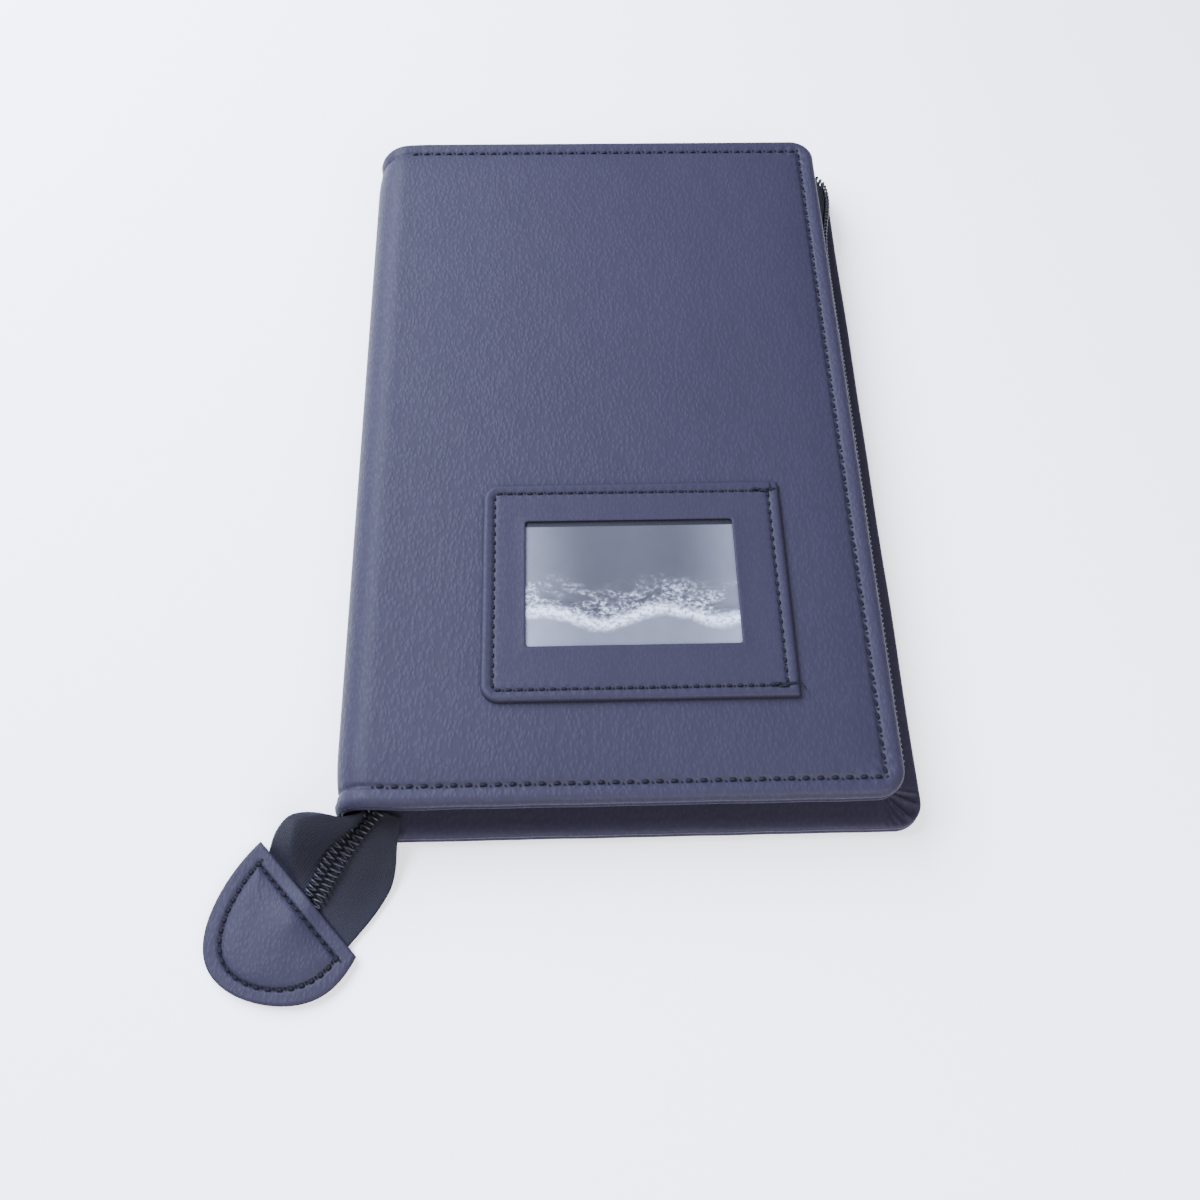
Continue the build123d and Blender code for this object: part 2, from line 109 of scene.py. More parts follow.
# ---------------------------------------------------------------- small mathematics

def smooth(t):
    """Eased step from 0 to 1: t squared times 3 less 2 t."""
    t = np.clip(t, 0, 1)
    return t * t * (3 - 2 * t)


def rise(t):
    """Padding that swells quickly and then levels: 1 less the 2.4th power of 1 - t."""
    return 1 - (1 - np.clip(t, 0, 1)) ** 2.4


def bell(x, width):
    """Gaussian bump of height 1."""
    return np.exp(-(x / width) ** 2)


def unit(v):
    return v / np.maximum(np.linalg.norm(v, axis=-1, keepdims=True), 1e-12)


def ripples(x, y, length, seed, count=6):
    """Gentle relief: the mean of plane waves whose directions, lengths and phases are drawn once."""
    draw = np.random.default_rng(seed)
    turn, phase = draw.uniform(0, 2 * pi, (2, count))
    size = length * draw.uniform(0.6, 1.6, count)
    across = x[..., None] * np.cos(turn) + y[..., None] * np.sin(turn)
    return np.sin(2 * pi * across / size + phase).mean(-1)


def graded(start, stop, step_at):
    """Grid lines from start to stop, as far apart at each place as step_at says."""
    x = np.linspace(start, stop, 4000)
    density = 1 / step_at(x)
    count = np.concatenate([[0], np.cumsum((density[1:] + density[:-1]) / 2 * np.diff(x))])
    return np.interp(np.linspace(0, count[-1], int(round(count[-1])) + 1), count, x)


def lengths_along(points):
    """Length of the line of points up to each of them."""
    return np.concatenate([[0], np.cumsum(np.linalg.norm(np.diff(points, axis=0), axis=1))])


def points_at(at, length, points):
    """Points of a line at the lengths given by at, where length holds the lengths up to its points."""
    return np.stack([np.interp(at, length, column) for column in points.T], -1)


def smooth_line(points, samples):
    """Catmull-Rom curve through points, sampled evenly by chord length."""
    points = np.asarray(points, float)
    padded = np.vstack([2 * points[0] - points[1], points, 2 * points[-1] - points[-2]])
    chord = lengths_along(points)
    at = np.interp(np.linspace(0, chord[-1], samples), chord, np.arange(len(points)))
    i = np.minimum(at.astype(int), len(points) - 2)
    t = (at - i)[:, None]
    a, b, c, d = padded[i], padded[i + 1], padded[i + 2], padded[i + 3]
    return 0.5 * (2 * b + (c - a) * t + (2 * a - 5 * b + 4 * c - d) * t ** 2
                  + (3 * b - a - 3 * c + d) * t ** 3)


def grid_faces(rows, columns, wrap=False, first=0):
    """Quads over points numbered row by row; wrap joins the last column to the first."""
    r = np.arange(rows - 1)[:, None]
    c = np.arange(columns if wrap else columns - 1)[None, :]
    after = (c + 1) % columns
    corners = [r * columns + c, (r + 1) * columns + c, (r + 1) * columns + after, r * columns + after]
    return first + np.stack(np.broadcast_arrays(*corners), -1).reshape(-1, 4)


# ---------------------------------------------------------------- making pieces

def piece(name, points, faces, material, uv=None, flip=False):
    """Mesh object from points in millimetres and arrays of faces, each array with one side count."""
    mesh = bpy.data.meshes.new(name)
    points = np.asarray(points, float).reshape(-1, 3)
    faces = faces if isinstance(faces, list) else [faces]
    if flip:
        faces = [f[:, ::-1] for f in faces]
    corners = np.concatenate([f.ravel() for f in faces]).astype(np.int32)
    sides = np.concatenate([np.full(len(f), f.shape[1]) for f in faces])
    starts = np.concatenate([[0], np.cumsum(sides)[:-1]]).astype(np.int32)
    mesh.vertices.add(len(points))
    mesh.vertices.foreach_set("co", (points * MM).astype(np.float32).ravel())
    mesh.loops.add(len(corners))
    mesh.loops.foreach_set("vertex_index", corners)
    mesh.polygons.add(len(sides))
    mesh.polygons.foreach_set("loop_start", starts)
    mesh.polygons.foreach_set("use_smooth", np.ones(len(sides), bool))
    if uv is not None:
        layer = mesh.uv_layers.new(name="Surface")
        layer.data.foreach_set("uv", np.asarray(uv, np.float32).reshape(-1, 2)[corners].ravel())
    mesh.update(calc_edges=True)
    mesh.materials.append(material)
    made = bpy.data.objects.new(name, mesh)
    bpy.context.scene.collection.objects.link(made)
    return made


def thickened(made, thickness, offset=-1.0):
    """Gives a sheet its thickness with a Solidify modifier."""
    solid = made.modifiers.new("thickness", "SOLIDIFY")
    solid.thickness = thickness * MM
    solid.offset = offset
    solid.use_even_offset = False


def softened(node, material, width=0.25):
    """A CAD node's own shape with its sharp edges rounded, as moulding or tumbling leaves them."""
    made = bpy.data.objects.new(node + "_finished", frame["nodes"][node].data.copy())
    bpy.context.scene.collection.objects.link(made)
    made.data.materials.clear()
    made.data.materials.append(material)
    weld = made.modifiers.new("weld", "WELD")
    weld.merge_threshold = 0.002 * MM
    bevel = made.modifiers.new("edges", "BEVEL")
    bevel.width, bevel.segments, bevel.limit_method = width * MM, 3, "ANGLE"
    bevel.angle_limit = radians(40)
    bevel.harden_normals = False
    made.data.polygons.foreach_set("use_smooth", np.zeros(len(made.data.polygons), bool))
    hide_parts(node)
    return made


def tube(line, radius, sides, guide):
    """Points and quads of a tube: a circle carried along a line, its frame kept by a guide vector."""
    heading = unit(np.gradient(line, axis=-2))
    side = unit(np.cross(heading, guide))
    up = np.cross(side, heading)
    turn = np.linspace(0, 2 * pi, sides, endpoint=False)
    ring = np.cos(turn)[:, None] * side[..., None, :] + np.sin(turn)[:, None] * up[..., None, :]
    radius = np.broadcast_to(np.asarray(radius, float), line.shape[:-1])
    points = line[..., None, :] + ring * radius[..., None, None]
    return points.reshape(-1, 3), grid_faces(line.shape[0], sides, wrap=True)


def tube_ends(points, sides):
    """The two faces that close a tube."""
    ring = np.arange(sides)
    return np.stack([ring[::-1], len(points) - sides + ring])


# ---------------------------------------------------------------- materials

class Value:
    """A shader socket that takes part in Python arithmetic: each operation adds a Math node."""

    def __init__(self, recipe, socket):
        self.recipe = recipe
        self.socket = socket

    def math(self, operation, *others):
        inputs = {i: v for i, v in enumerate((self,) + others)}
        return self.recipe.node("ShaderNodeMath", {"operation": operation}, inputs)

    def reflected(self, operation, other):
        return self.recipe.node("ShaderNodeMath", {"operation": operation}, {0: other, 1: self})

    def __add__(self, other):
        return self.math("ADD", other)

    __radd__ = __add__

    def __sub__(self, other):
        return self.math("SUBTRACT", other)

    def __rsub__(self, other):
        return self.reflected("SUBTRACT", other)

    def __mul__(self, other):
        return self.math("MULTIPLY", other)

    __rmul__ = __mul__

    def __truediv__(self, other):
        return self.math("DIVIDE", other)

    def clamp(self):
        return self.recipe.node("ShaderNodeClamp", {}, {"Value": self})

    def between(self, low, high):
        """0 below low, 1 above high, eased between them."""
        settings = {"interpolation_type": "SMOOTHSTEP"}
        return self.recipe.node("ShaderNodeMapRange", settings, {"Value": self, 1: low, 2: high})

    def bump_at(self, middle, width):
        """1 at middle, falling smoothly to 0 at width from it."""
        return 1 - (self - middle).math("ABSOLUTE").between(0, width)


class Recipe:
    """A material's nodes round one Principled shader."""

    def __init__(self, name):
        self.material = bpy.data.materials.new(name)
        self.material.use_nodes = True
        self.tree = self.material.node_tree
        self.shader = next(n for n in self.tree.nodes if n.type == "BSDF_PRINCIPLED")

    def node(self, kind, settings=None, inputs=None, output=0):
        made = self.tree.nodes.new(kind)
        for key, setting in (settings or {}).items():
            if key == "stops":
                ramp = made.color_ramp
                while len(ramp.elements) < len(setting):
                    ramp.elements.new(0.5)
                for element, (place, shade) in zip(ramp.elements, setting):
                    element.position = place
                    element.color = (*shade, 1)
            else:
                setattr(made, key, setting)
        for key, given in (inputs or {}).items():
            self.feed(made.inputs[key], given)
        return Value(self, made.outputs[output])

    def feed(self, socket, given):
        if isinstance(given, Value):
            self.tree.links.new(given.socket, socket)
        elif isinstance(given, tuple) and socket.type == "RGBA" and len(given) == 3:
            socket.default_value = (*given, 1)
        else:
            socket.default_value = given

    def set(self, **inputs):
        """Feeds the shader's sockets; a name's underscores stand for spaces."""
        for key, given in inputs.items():
            self.feed(self.shader.inputs[key.replace("_", " ")], given)
        return self

    def place(self, scale):
        """Coordinates times a scale for each axis, in repeats per metre."""
        at = self.node("ShaderNodeTexCoord", output="Object")
        return self.node("ShaderNodeMapping", {}, {"Vector": at, "Scale": scale})

    def split(self, at):
        """First and second component of a vector."""
        return [self.node("ShaderNodeSeparateXYZ", {}, {0: at}, output=k) for k in (0, 1)]

    def noise(self, place, detail=3.0, roughness=0.55, distortion=0.0):
        return self.node("ShaderNodeTexNoise", {}, {
            "Vector": place, "Scale": 1.0, "Detail": detail, "Roughness": roughness,
            "Distortion": distortion})

    def mix(self, factor, first, second):
        """Colour mix: first where factor is 0, second where it is 1."""
        made = self.tree.nodes.new("ShaderNodeMix")
        made.data_type = "RGBA"
        for index, given in ((0, factor), (6, first), (7, second)):
            self.feed(made.inputs[index], given)
        return Value(self, made.outputs[2])

    def bump(self, height, distance):
        """Relief of a height field whose full range is distance, in millimetres."""
        made = self.node("ShaderNodeBump", {}, {
            "Height": height, "Distance": distance * MM, "Strength": 1.0})
        return self.set(Normal=made)


def shade(colour, factor):
    """A colour made darker or lighter."""
    return tuple(c * factor for c in colour)


def leatherette(name, colour, grain=1.0, relief=0.07, roughness=0.56):
    """Embossed leatherette: small pebbles drawn out towards the head, over long faint creases."""
    m = Recipe(name)
    cells = 1000 / grain
    wander = m.noise(m.place((cells * 0.5, cells * 0.28, cells * 0.5)), detail=2)
    at = m.place((cells, cells * 0.52, cells))
    bent = m.node("ShaderNodeVectorMath", {"operation": "ADD"}, {
        0: at, 1: m.node("ShaderNodeTexNoise", {}, {
            "Vector": at, "Scale": 0.7, "Detail": 1.5}, output="Color")})
    pebble = 1 - m.node("ShaderNodeTexVoronoi", {"feature": "SMOOTH_F1"}, {
        "Vector": bent, "Scale": 1.0, "Smoothness": 0.35}).between(0.12, 0.72)
    fine = m.noise(m.place((4200, 3000, 4200)), detail=2)
    crease = m.noise(m.place((260, 70, 260)), detail=4, distortion=0.6)
    cloud = m.noise(m.place((26, 18, 26)), detail=2)
    height = pebble * (0.55 + 0.45 * wander) + 0.2 * fine + 0.3 * crease
    # Painted light and shade: the base colour follows the relief, darker in the pebbles' crevices and the
    # creases and lighter on their tops; the cloud term is a random tone of the leather itself.
    tone_and_relief_shade = (0.32 * pebble + 0.3 * cloud + 0.3 * crease + 0.1 * fine).clamp()
    m.set(Base_Color=m.mix(tone_and_relief_shade, shade(colour, 0.8), shade(colour, 1.2)),
          Roughness=roughness - 0.08 * pebble + 0.1 * (cloud - 0.5),
          Specular_IOR_Level=0.1)
    return m.bump(height, relief).material


def thread_material(name, colour):
    """Twisted thread: slanting ply lines round each stitch, on the piece's own UV map."""
    m = Recipe(name)
    u, v = m.split(m.node("ShaderNodeTexCoord", output="UV"))
    ply = (u * 7.0 + v * 6.2832).math("SINE") * 0.5 + 0.5
    fuzz = m.noise(m.place((6000, 6000, 6000)), detail=2)
    # Painted light and shade: the colour follows the ply relief, lighter on the plies' crowns and darker
    # in the twist between them.
    m.set(Base_Color=m.mix(ply * 0.7 + fuzz * 0.3, shade(colour, 0.55), shade(colour, 1.25)),
          Roughness=0.8, Specular_IOR_Level=0.15)
    return m.bump(ply + 0.3 * fuzz, 0.06).material


def woven_tape(name, colour, rib=0.55, relief=0.12):
    """Zip tape: fine ribs along it crossed by weft, on UV coordinates in millimetres."""
    m = Recipe(name)
    u, v = m.split(m.node("ShaderNodeTexCoord", output="UV"))
    weft = (u * (2 * pi / 0.5) + (v * (pi / rib)).math("SINE") * 1.4).math("SINE") * 0.5 + 0.5
    warp = (v * (2 * pi / rib)).math("SINE") * 0.5 + 0.5
    fuzz = m.noise(m.place((2600, 2600, 2600)), detail=3)
    weave = weft * 0.5 + warp * 0.5
    # Painted light and shade: the colour follows the weave's relief, with painted highlights on the
    # raised threads and fuzz and painted shade between them.
    m.set(Base_Color=m.mix(weave * 0.65 + fuzz * 0.35, shade(colour, 0.4), shade(colour, 2.4)),
          Roughness=0.7, Specular_IOR_Level=0.16)
    return m.bump(weave + 0.5 * fuzz, relief).material


def lining_cloth(name, colour):
    """Plain woven polyester: two crossed sets of fine threads with a soft sheen."""
    m = Recipe(name)
    x, y = m.split(m.place((1, 1, 1)))
    threads = 2 * pi * 1600                # threads to the metre
    over = (x * threads).math("SINE") * (y * threads).math("SINE")
    fuzz = m.noise(m.place((900, 900, 900)), detail=4)
    cloud = m.noise(m.place((30, 30, 30)), detail=2)
    # Painted light and shade: the colour follows the relief, lighter where the threads cross over and on
    # the fuzz and darker between them; the cloud term is a random tone of the cloth itself.
    tone_and_relief_shade = over * 0.25 + fuzz * 0.5 + cloud * 0.3
    m.set(Base_Color=m.mix(tone_and_relief_shade, shade(colour, 0.6), shade(colour, 1.5)),
          Roughness=0.65, Specular_IOR_Level=0.3)
    return m.bump(over * 0.5 + fuzz, 0.08).material


def nylon(name, colour):
    """Drawn nylon monofilament: glossy, with faint draw lines."""
    m = Recipe(name)
    draw = m.noise(m.place((1800, 1800, 1800)), detail=2)
    m.set(Base_Color=m.mix(draw, shade(colour, 0.7), shade(colour, 1.4)),
          Roughness=0.4 + 0.14 * draw, Specular_IOR_Level=0.35)
    return m.bump(draw, 0.03).material


def enamelled_metal(name, colour):
    """Black enamel on cast zinc: satin, faintly orange-peeled, rubbed on its high spots."""
    m = Recipe(name)
    peel = m.noise(m.place((700, 700, 700)), detail=2)
    rub = m.noise(m.place((160, 160, 900)), detail=5).between(0.56, 0.74)
    m.set(Base_Color=m.mix(rub * 0.35, colour, (0.16, 0.16, 0.18)), Metallic=0.85,
          Roughness=0.34 + 0.16 * peel)
    return m.bump(peel, 0.02).material


def clear_film(name):
    """Soft clear PVC with a faint haze and shallow waves."""
    m = Recipe(name)
    wave = m.noise(m.place((45, 80, 45)), detail=2)
    haze = m.noise(m.place((240, 240, 240)), detail=4)
    m.set(Base_Color=(0.04, 0.042, 0.055), Alpha=0.09 + 0.06 * haze, Roughness=0.1,
          Specular_IOR_Level=0.22)
    return m.bump(wave, 0.6).material


def grainy_print(name):
    """Plain grey print: an even grey field over a speckled wavy band and a pale foot. It is laid out
    on the window's opening, which is the film without its margins."""
    low, high = node_span("id_window_film")
    low, high = low + FILM_MARGIN, high - FILM_MARGIN
    m = Recipe(name)
    x, y = m.split(m.node("ShaderNodeTexCoord", output="Object"))
    x = (x - low[0] * MM) / ((high - low)[0] * MM)
    y = (y - low[1] * MM) / ((high - low)[1] * MM)
    swell = m.noise(m.place((38, 20, 1)), detail=1)
    speck = m.noise(m.place((700, 900, 1)), detail=5, roughness=0.75)
    patch = m.noise(m.place((110, 170, 1)), detail=3, distortion=1.2)
    ragged = m.noise(m.place((240, 160, 1)), detail=5, roughness=0.7)
    shore = 0.235 + 0.05 * (x * 11.0 + 0.8).math("SINE") + 0.08 * (swell - 0.5) + 0.09 * (ragged - 0.5)
    drop = y - shore
    band = drop.bump_at(0.0, 0.075)
    foot = 1 - drop.between(-0.05, 0.0)
    grain = drop.bump_at(0.12, 0.2) * speck.between(0.42, 0.66) * patch.between(0.4, 0.6)
    murk = drop.bump_at(0.075, 0.075) * speck.between(0.35, 0.6)
    field = 0.04 + 0.04 * swell + 0.14 * (x - 0.5).math("ABSOLUTE").between(0.2, 0.6)
    ink = (field + 0.9 * band * (0.25 + 0.75 * speck.between(0.38, 0.56)) + 0.12 * foot + 0.85 * grain
           - 0.055 * murk)
    slot_shadow = 1 - y.between(0.958, 0.966)
    m.set(Base_Color=m.mix((ink * slot_shadow).clamp(), (0.002, 0.002, 0.004), (0.76, 0.81, 1.0)),
          Roughness=0.4, Specular_IOR_Level=0.3)
    return m.material


def greyboard(name):
    """Pressed grey board with flecks of fibre."""
    m = Recipe(name)
    fleck = m.noise(m.place((900, 1400, 900)), detail=4)
    m.set(Base_Color=m.mix(fleck, (0.2, 0.18, 0.15), (0.4, 0.37, 0.32)), Roughness=0.85)
    return m.bump(fleck, 0.05).material


def foam_sheet(name):
    """Pale open-celled foam."""
    m = Recipe(name)
    cell = m.node("ShaderNodeTexVoronoi", {}, {"Vector": m.place((1600, 1600, 1600)), "Scale": 1.0})
    m.set(Base_Color=m.mix(cell, (0.35, 0.35, 0.37), (0.6, 0.6, 0.62)), Roughness=0.9)
    return m.bump(cell, 0.2).material


COVER_BLUE = (0.0175, 0.0158, 0.0285)
LEATHER = leatherette("cover_leatherette", COVER_BLUE)
FRAME_LEATHER = leatherette("window_frame_leatherette", shade(COVER_BLUE, 0.97), grain=0.8,
                            relief=0.025)
TAB_LEATHER = leatherette("tab_leatherette", shade(COVER_BLUE, 0.95), grain=0.8, relief=0.075)
INNER_LEATHER = leatherette("pocket_leatherette", shade(COVER_BLUE, 0.7), grain=0.9, relief=0.04)
THREAD = thread_material("sewing_thread", (0.005, 0.005, 0.010))
# Painted shade: near-black cones stand for the shade inside the needle holes.
NEEDLE_HOLE_SHADE = thread_material("needle_hole_shadow", (0.002, 0.002, 0.004))
TAPE_CLOTH = woven_tape("zip_tape_cloth", (0.0052, 0.0052, 0.009))
ELASTIC = woven_tape("pen_loop_elastic", (0.012, 0.012, 0.018), rib=1.1, relief=0.25)
COIL_NYLON = nylon("coil_nylon", (0.006, 0.006, 0.010))
METAL = enamelled_metal("slider_enamel", (0.02, 0.02, 0.026))
CLOTH = lining_cloth("lining_polyester", (0.014, 0.014, 0.022))
FILM = clear_film("clear_pvc")
PRINT = grainy_print("grey_print")
BOARD = greyboard("cover_greyboard")
FOAM = foam_sheet("cover_foam")


# ---------------------------------------------------------------- the covers' padded skins

class Cover:
    """One cover's skin laid flat: s runs from the middle of the spine's height round its arc and out
    to the fore edge, y from foot to head. Heights stand out from the outer face."""

    def __init__(self, name, radius, faces_up, seed):
        self.name, self.radius, self.faces_up, self.seed = name, radius, faces_up, seed
        low, high = node_span(name + "_skin")
        self.rise = MIDDLE - radius
        self.flat = self.rise + radius * pi / 2
        self.foot, self.head = low[1], high[1]
        self.width = self.flat + high[0] - SPINE_X - radius
        self.slide = SPINE_FOOT - self.foot

    def s_at(self, x):
        """Unrolled place of an x on the flat of the cover."""
        return x - SPINE_X - self.radius + self.flat

    def shift(self, s):
        """How far the ends slide along to meet the spine's own ends."""
        return self.slide * (1 - smooth(s / (self.flat + 6)))

    def draw_in(self, s, y):
        """The zip's tail pulls the foot end of the spine in by FOOT_DRAW, which dies out along it."""
        return FOOT_DRAW * (1 - smooth(s / (self.flat + 8))) * (1 - smooth((y - self.foot - 4) / 55))

    def place(self, s, y, height):
        """Points in space: straight up the spine, a quarter circle of the spine's radius, then flat;
        heights are added along the outward normal."""
        angle = np.clip((s - self.rise) / self.radius, 0, pi / 2)
        x = SPINE_X + self.radius * (1 - np.cos(angle)) + np.maximum(s - self.flat, 0)
        depth = self.radius * (1 - np.sin(angle)) + np.maximum(self.rise - s, 0)
        x = x - height * np.cos(angle)
        depth = depth - height * np.sin(angle)
        z = THICKNESS - depth if self.faces_up else depth
        return np.stack(np.broadcast_arrays(x, y + self.shift(s) + self.draw_in(s, y), z), -1)

    def inset(self, s, y):
        """Distance in from the outline: rounded corners near the edge, square ones from the seam in."""
        a, b = self.width - s, np.minimum(y - self.foot, self.head - y)
        square = np.minimum(a, b)
        arc = CORNER - np.hypot(np.maximum(CORNER - a, 0), np.maximum(CORNER - b, 0))
        rounded = np.where((a < CORNER) & (b < CORNER), arc, square)
        return rounded + (square - rounded) * smooth((square - 4.4) / 1.1)

    def relief(self, s, y):
        """Height of the face: padding that swells in from the seam, the band and groove of the seam,
        a pucker at every stitch, and slow waves that fade out at the edge and on the spine."""
        fore, ends = self.width - s - SEAM, np.minimum(y - self.foot, self.head - y) - SEAM
        swell = rise(fore / PAD) * rise(ends / PAD)
        inset = self.inset(s, y)
        height = SINK * (swell - 1)
        height = height + BAND * smooth((SEAM - 0.4 - inset) / 2.4)
        height = height - GROOVE * bell(inset - SEAM, 0.65)
        along = np.where(fore < ends, y, s)
        pucker = np.cos(2 * pi * along / PITCH)
        beside = bell(inset - SEAM - 1.2, 0.9) + bell(inset - SEAM + 1.2, 0.8)
        height = height + 0.15 * pucker * beside
        calm = smooth((inset - 2.6) / 4) * smooth((s - 3) / 14)
        waves = 0.13 * ripples(s, y * 0.7, 62, self.seed) + 0.05 * ripples(s, y, 17, self.seed + 1)
        drag = 0.1 * ripples(along * 0.3, along, 26, self.seed + 2) * bell(inset - SEAM - 3, 4)
        return height + (waves + drag) * calm

    def rim_depth(self, s, depth):
        """The rolled edge is thinner round the spine, where there is no board."""
        return depth * (0.5 + 0.5 * smooth((s - self.rise) / (self.flat + 2)))


BACK = Cover("back", BACK_RADIUS, False, 11)
FRONT = Cover("front", FRONT_RADIUS, True, 23)


def rounded_corners(s, y, cover):
    """Bends the grid's square corners round: a ring of lines at distance m from the grid's edge gets
    the corner radius (CORNER - GRID_EDGE)(1 - m / 2.5), and its points keep their share of the way."""
    square = 9.0           # side of the bent square at each fore corner
    for end, sign in ((cover.foot, 1), (cover.head, -1)):
        p = cover.width - GRID_EDGE - s
        q = sign * (y - end) - GRID_EDGE
        near = (p < square) & (q < square)
        m, e = np.minimum(p, q), np.abs(p - q)
        r = np.maximum((CORNER - GRID_EDGE) * (1 - m / 2.5), 0)
        arc = r * pi / 4
        along = e * (arc + square - m - r) / np.maximum(square - m, 1e-9)
        beta = pi / 4 - np.minimum(along, arc) / np.maximum(r, 1e-9)
        beyond = np.maximum(along - arc, 0)
        close = m + r - r * np.cos(beta)
        far = m + r - r * np.sin(beta) + beyond
        s = np.where(near, cover.width - GRID_EDGE - np.where(p < q, close, far), s)
        y = np.where(near, end + sign * (GRID_EDGE + np.where(p < q, far, close)), y)
    return s, y


def outline_share(s, y, cover):
    """Which stretch of the outline a point lies on, foot 0, corner 1, fore 2, corner 3 or head 4, and
    its share of the way along that stretch."""
    fore, foot, head = cover.width - CORNER, cover.foot + CORNER, cover.head - CORNER
    at_foot = y < (cover.foot + cover.head) / 2
    straight = s <= fore + 1e-6
    stretch = np.select([straight & at_foot, straight, y < foot, y <= head], [0, 4, 1, 2], 3)
    share = np.choose(stretch, [
        s / fore, np.arctan2(s - fore, foot - y) / (pi / 2), (y - foot) / (head - foot),
        np.arctan2(y - head, s - fore) / (pi / 2), 1 - s / fore])
    return stretch, share


def outline_ring(stretch, share, inset, cover):
    """Points of the outline taken in by an inset, with arcs of radius CORNER less the inset."""
    r = np.maximum(CORNER - inset, 0.3)
    fore, foot, head = cover.width - inset, cover.foot + inset, cover.head - inset
    turn = share * pi / 2
    zero = 0 * share
    s = np.choose(stretch, np.broadcast_arrays(
        share * (fore - r), fore - r + r * np.sin(turn), fore + zero, fore - r + r * np.cos(turn),
        (1 - share) * (fore - r)))
    y = np.choose(stretch, np.broadcast_arrays(
        foot + zero, foot + r - r * np.cos(turn), foot + r + share * (head - foot - 2 * r),
        head - r + r * np.sin(turn), head + zero))
    return s, y


def bend_at_hinge(made, cover, hinge):
    """Bakes a piece of a cover's placement into its mesh. The ends of a 4 mm span across the hinge line,
    at 45 degrees to the cover, are worked out but not used.
    """
    sign = 1 if cover.faces_up else -1
    reach = 2 * sign * np.array([1, 0, sign]) / 2 ** 0.5
    tuple((hinge - reach) * MM)
    tuple((hinge + reach) * MM)
    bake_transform(made)


def cover_skin(cover, hinge, nodes):
    """Padded face as a grid, and the rolled rim as a profile carried round its edge and turned in
    under the cover. At the fore corners the turned-in leather is gathered in radial pleats. The edge
    at the middle of the spine is sharp, since the other cover's skin goes on from there."""
    def step_in(distance):
        """Spacing of the grid lines at a distance from the grid's edge: fine round the seam."""
        return 0.34 + 0.96 * smooth((distance - 5.5) / 9)

    edge_s = cover.width - GRID_EDGE
    lines_s = graded(0, edge_s, lambda s: step_in(edge_s - s))
    low, high = cover.foot + GRID_EDGE, cover.head - GRID_EDGE
    lines_y = graded(low, high, lambda y: step_in(np.minimum(y - low, high - y)))
    s, y = np.meshgrid(lines_s, lines_y, indexing="ij")
    s, y = rounded_corners(s, y, cover)
    face = cover.place(s, y, cover.relief(s, y))
    rows, columns = s.shape
    index = np.arange(rows * columns).reshape(rows, columns)
    loop = np.concatenate([index[:, 0], index[-1, 1:-1], index[::-1, -1]])

    stretch, share = outline_share(s.ravel()[loop], y.ravel()[loop], cover)
    profile = smooth_line(RIM_PROFILE, 25)[1:]
    inset, depth = profile[:, :1], profile[:, 1:]
    ring_s, ring_y = outline_ring(stretch[None], share[None], inset, cover)
    to_fore = np.maximum(PLEAT_REACH - (cover.width - ring_s), 0)
    to_end = np.maximum(PLEAT_REACH - np.minimum(ring_y - cover.foot, cover.head - ring_y), 0)
    swing = np.arctan2(to_end, to_fore)
    fold = np.abs(np.sin(swing * 12 + 0.8 * np.sin(swing * 5))) ** 0.7
    gather = smooth((inset - 0.7) / 1.2) * (depth > 3) * np.minimum(to_fore, to_end).clip(0, 2) / 2
    pleat = (0.95 * fold - 0.35) * gather * np.sin(2 * swing).clip(0, 1) ** 0.4
    wave = 0.16 * ripples(ring_s * 1.3, ring_y, 30, cover.seed + 5) * smooth(depth / 3)
    sag = 0.1 * ripples(ring_s, ring_y, 14, cover.seed + 7) * smooth((inset - 1) / 3) * (depth > 4)
    down = cover.rim_depth(ring_s, depth) - pleat + sag
    rim = cover.place(ring_s, ring_y, -down)
    lean = unit(np.stack(outline_ring(stretch, share, 0.0, cover), -1)
                - np.stack(outline_ring(stretch, share, 1.0, cover), -1))
    rim[..., :2] += (wave * smooth((6 - inset) / 4))[..., None] * lean

    first = rows * columns
    ring_index = np.concatenate([loop[None], first + np.arange(rim.size // 3).reshape(rim.shape[:2])])
    quads = np.stack([ring_index[:-1, :-1], ring_index[1:, :-1],
                      ring_index[1:, 1:], ring_index[:-1, 1:]], -1)
    points = np.concatenate([face.reshape(-1, 3), rim.reshape(-1, 3)])
    faces = np.concatenate([grid_faces(rows, columns), quads.reshape(-1, 4)])
    made = piece(cover.name + "_cover_skin", points, faces, LEATHER,
                 flip=not cover.faces_up)
    edge_ends = np.empty(2 * len(made.data.edges), np.int32)
    made.data.edges.foreach_get("vertices", edge_ends)
    at_middle = (edge_ends.reshape(-1, 2) < columns).all(1)
    made.data.edges.foreach_set("use_edge_sharp", at_middle)
    thickened(made, 0.9)
    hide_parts(*nodes)
    bend_at_hinge(made, cover, hinge)


def closed_sheet(top, bottom):
    """Points and quads of the closed solid between two grids of points of one shape."""
    rows, columns = top.shape[:2]
    count = rows * columns
    index = np.arange(count).reshape(rows, columns)
    loop = np.concatenate([index[0, :-1], index[:-1, -1], index[-1, :0:-1], index[:0:-1, 0]])
    after = np.roll(loop, -1)
    wall = np.stack([loop, after, after + count, loop + count], -1)
    under = grid_faces(rows, columns, first=count)[:, ::-1]
    faces = np.concatenate([grid_faces(rows, columns), under, wall])
    return np.concatenate([top.reshape(-1, 3), bottom.reshape(-1, 3)]), faces


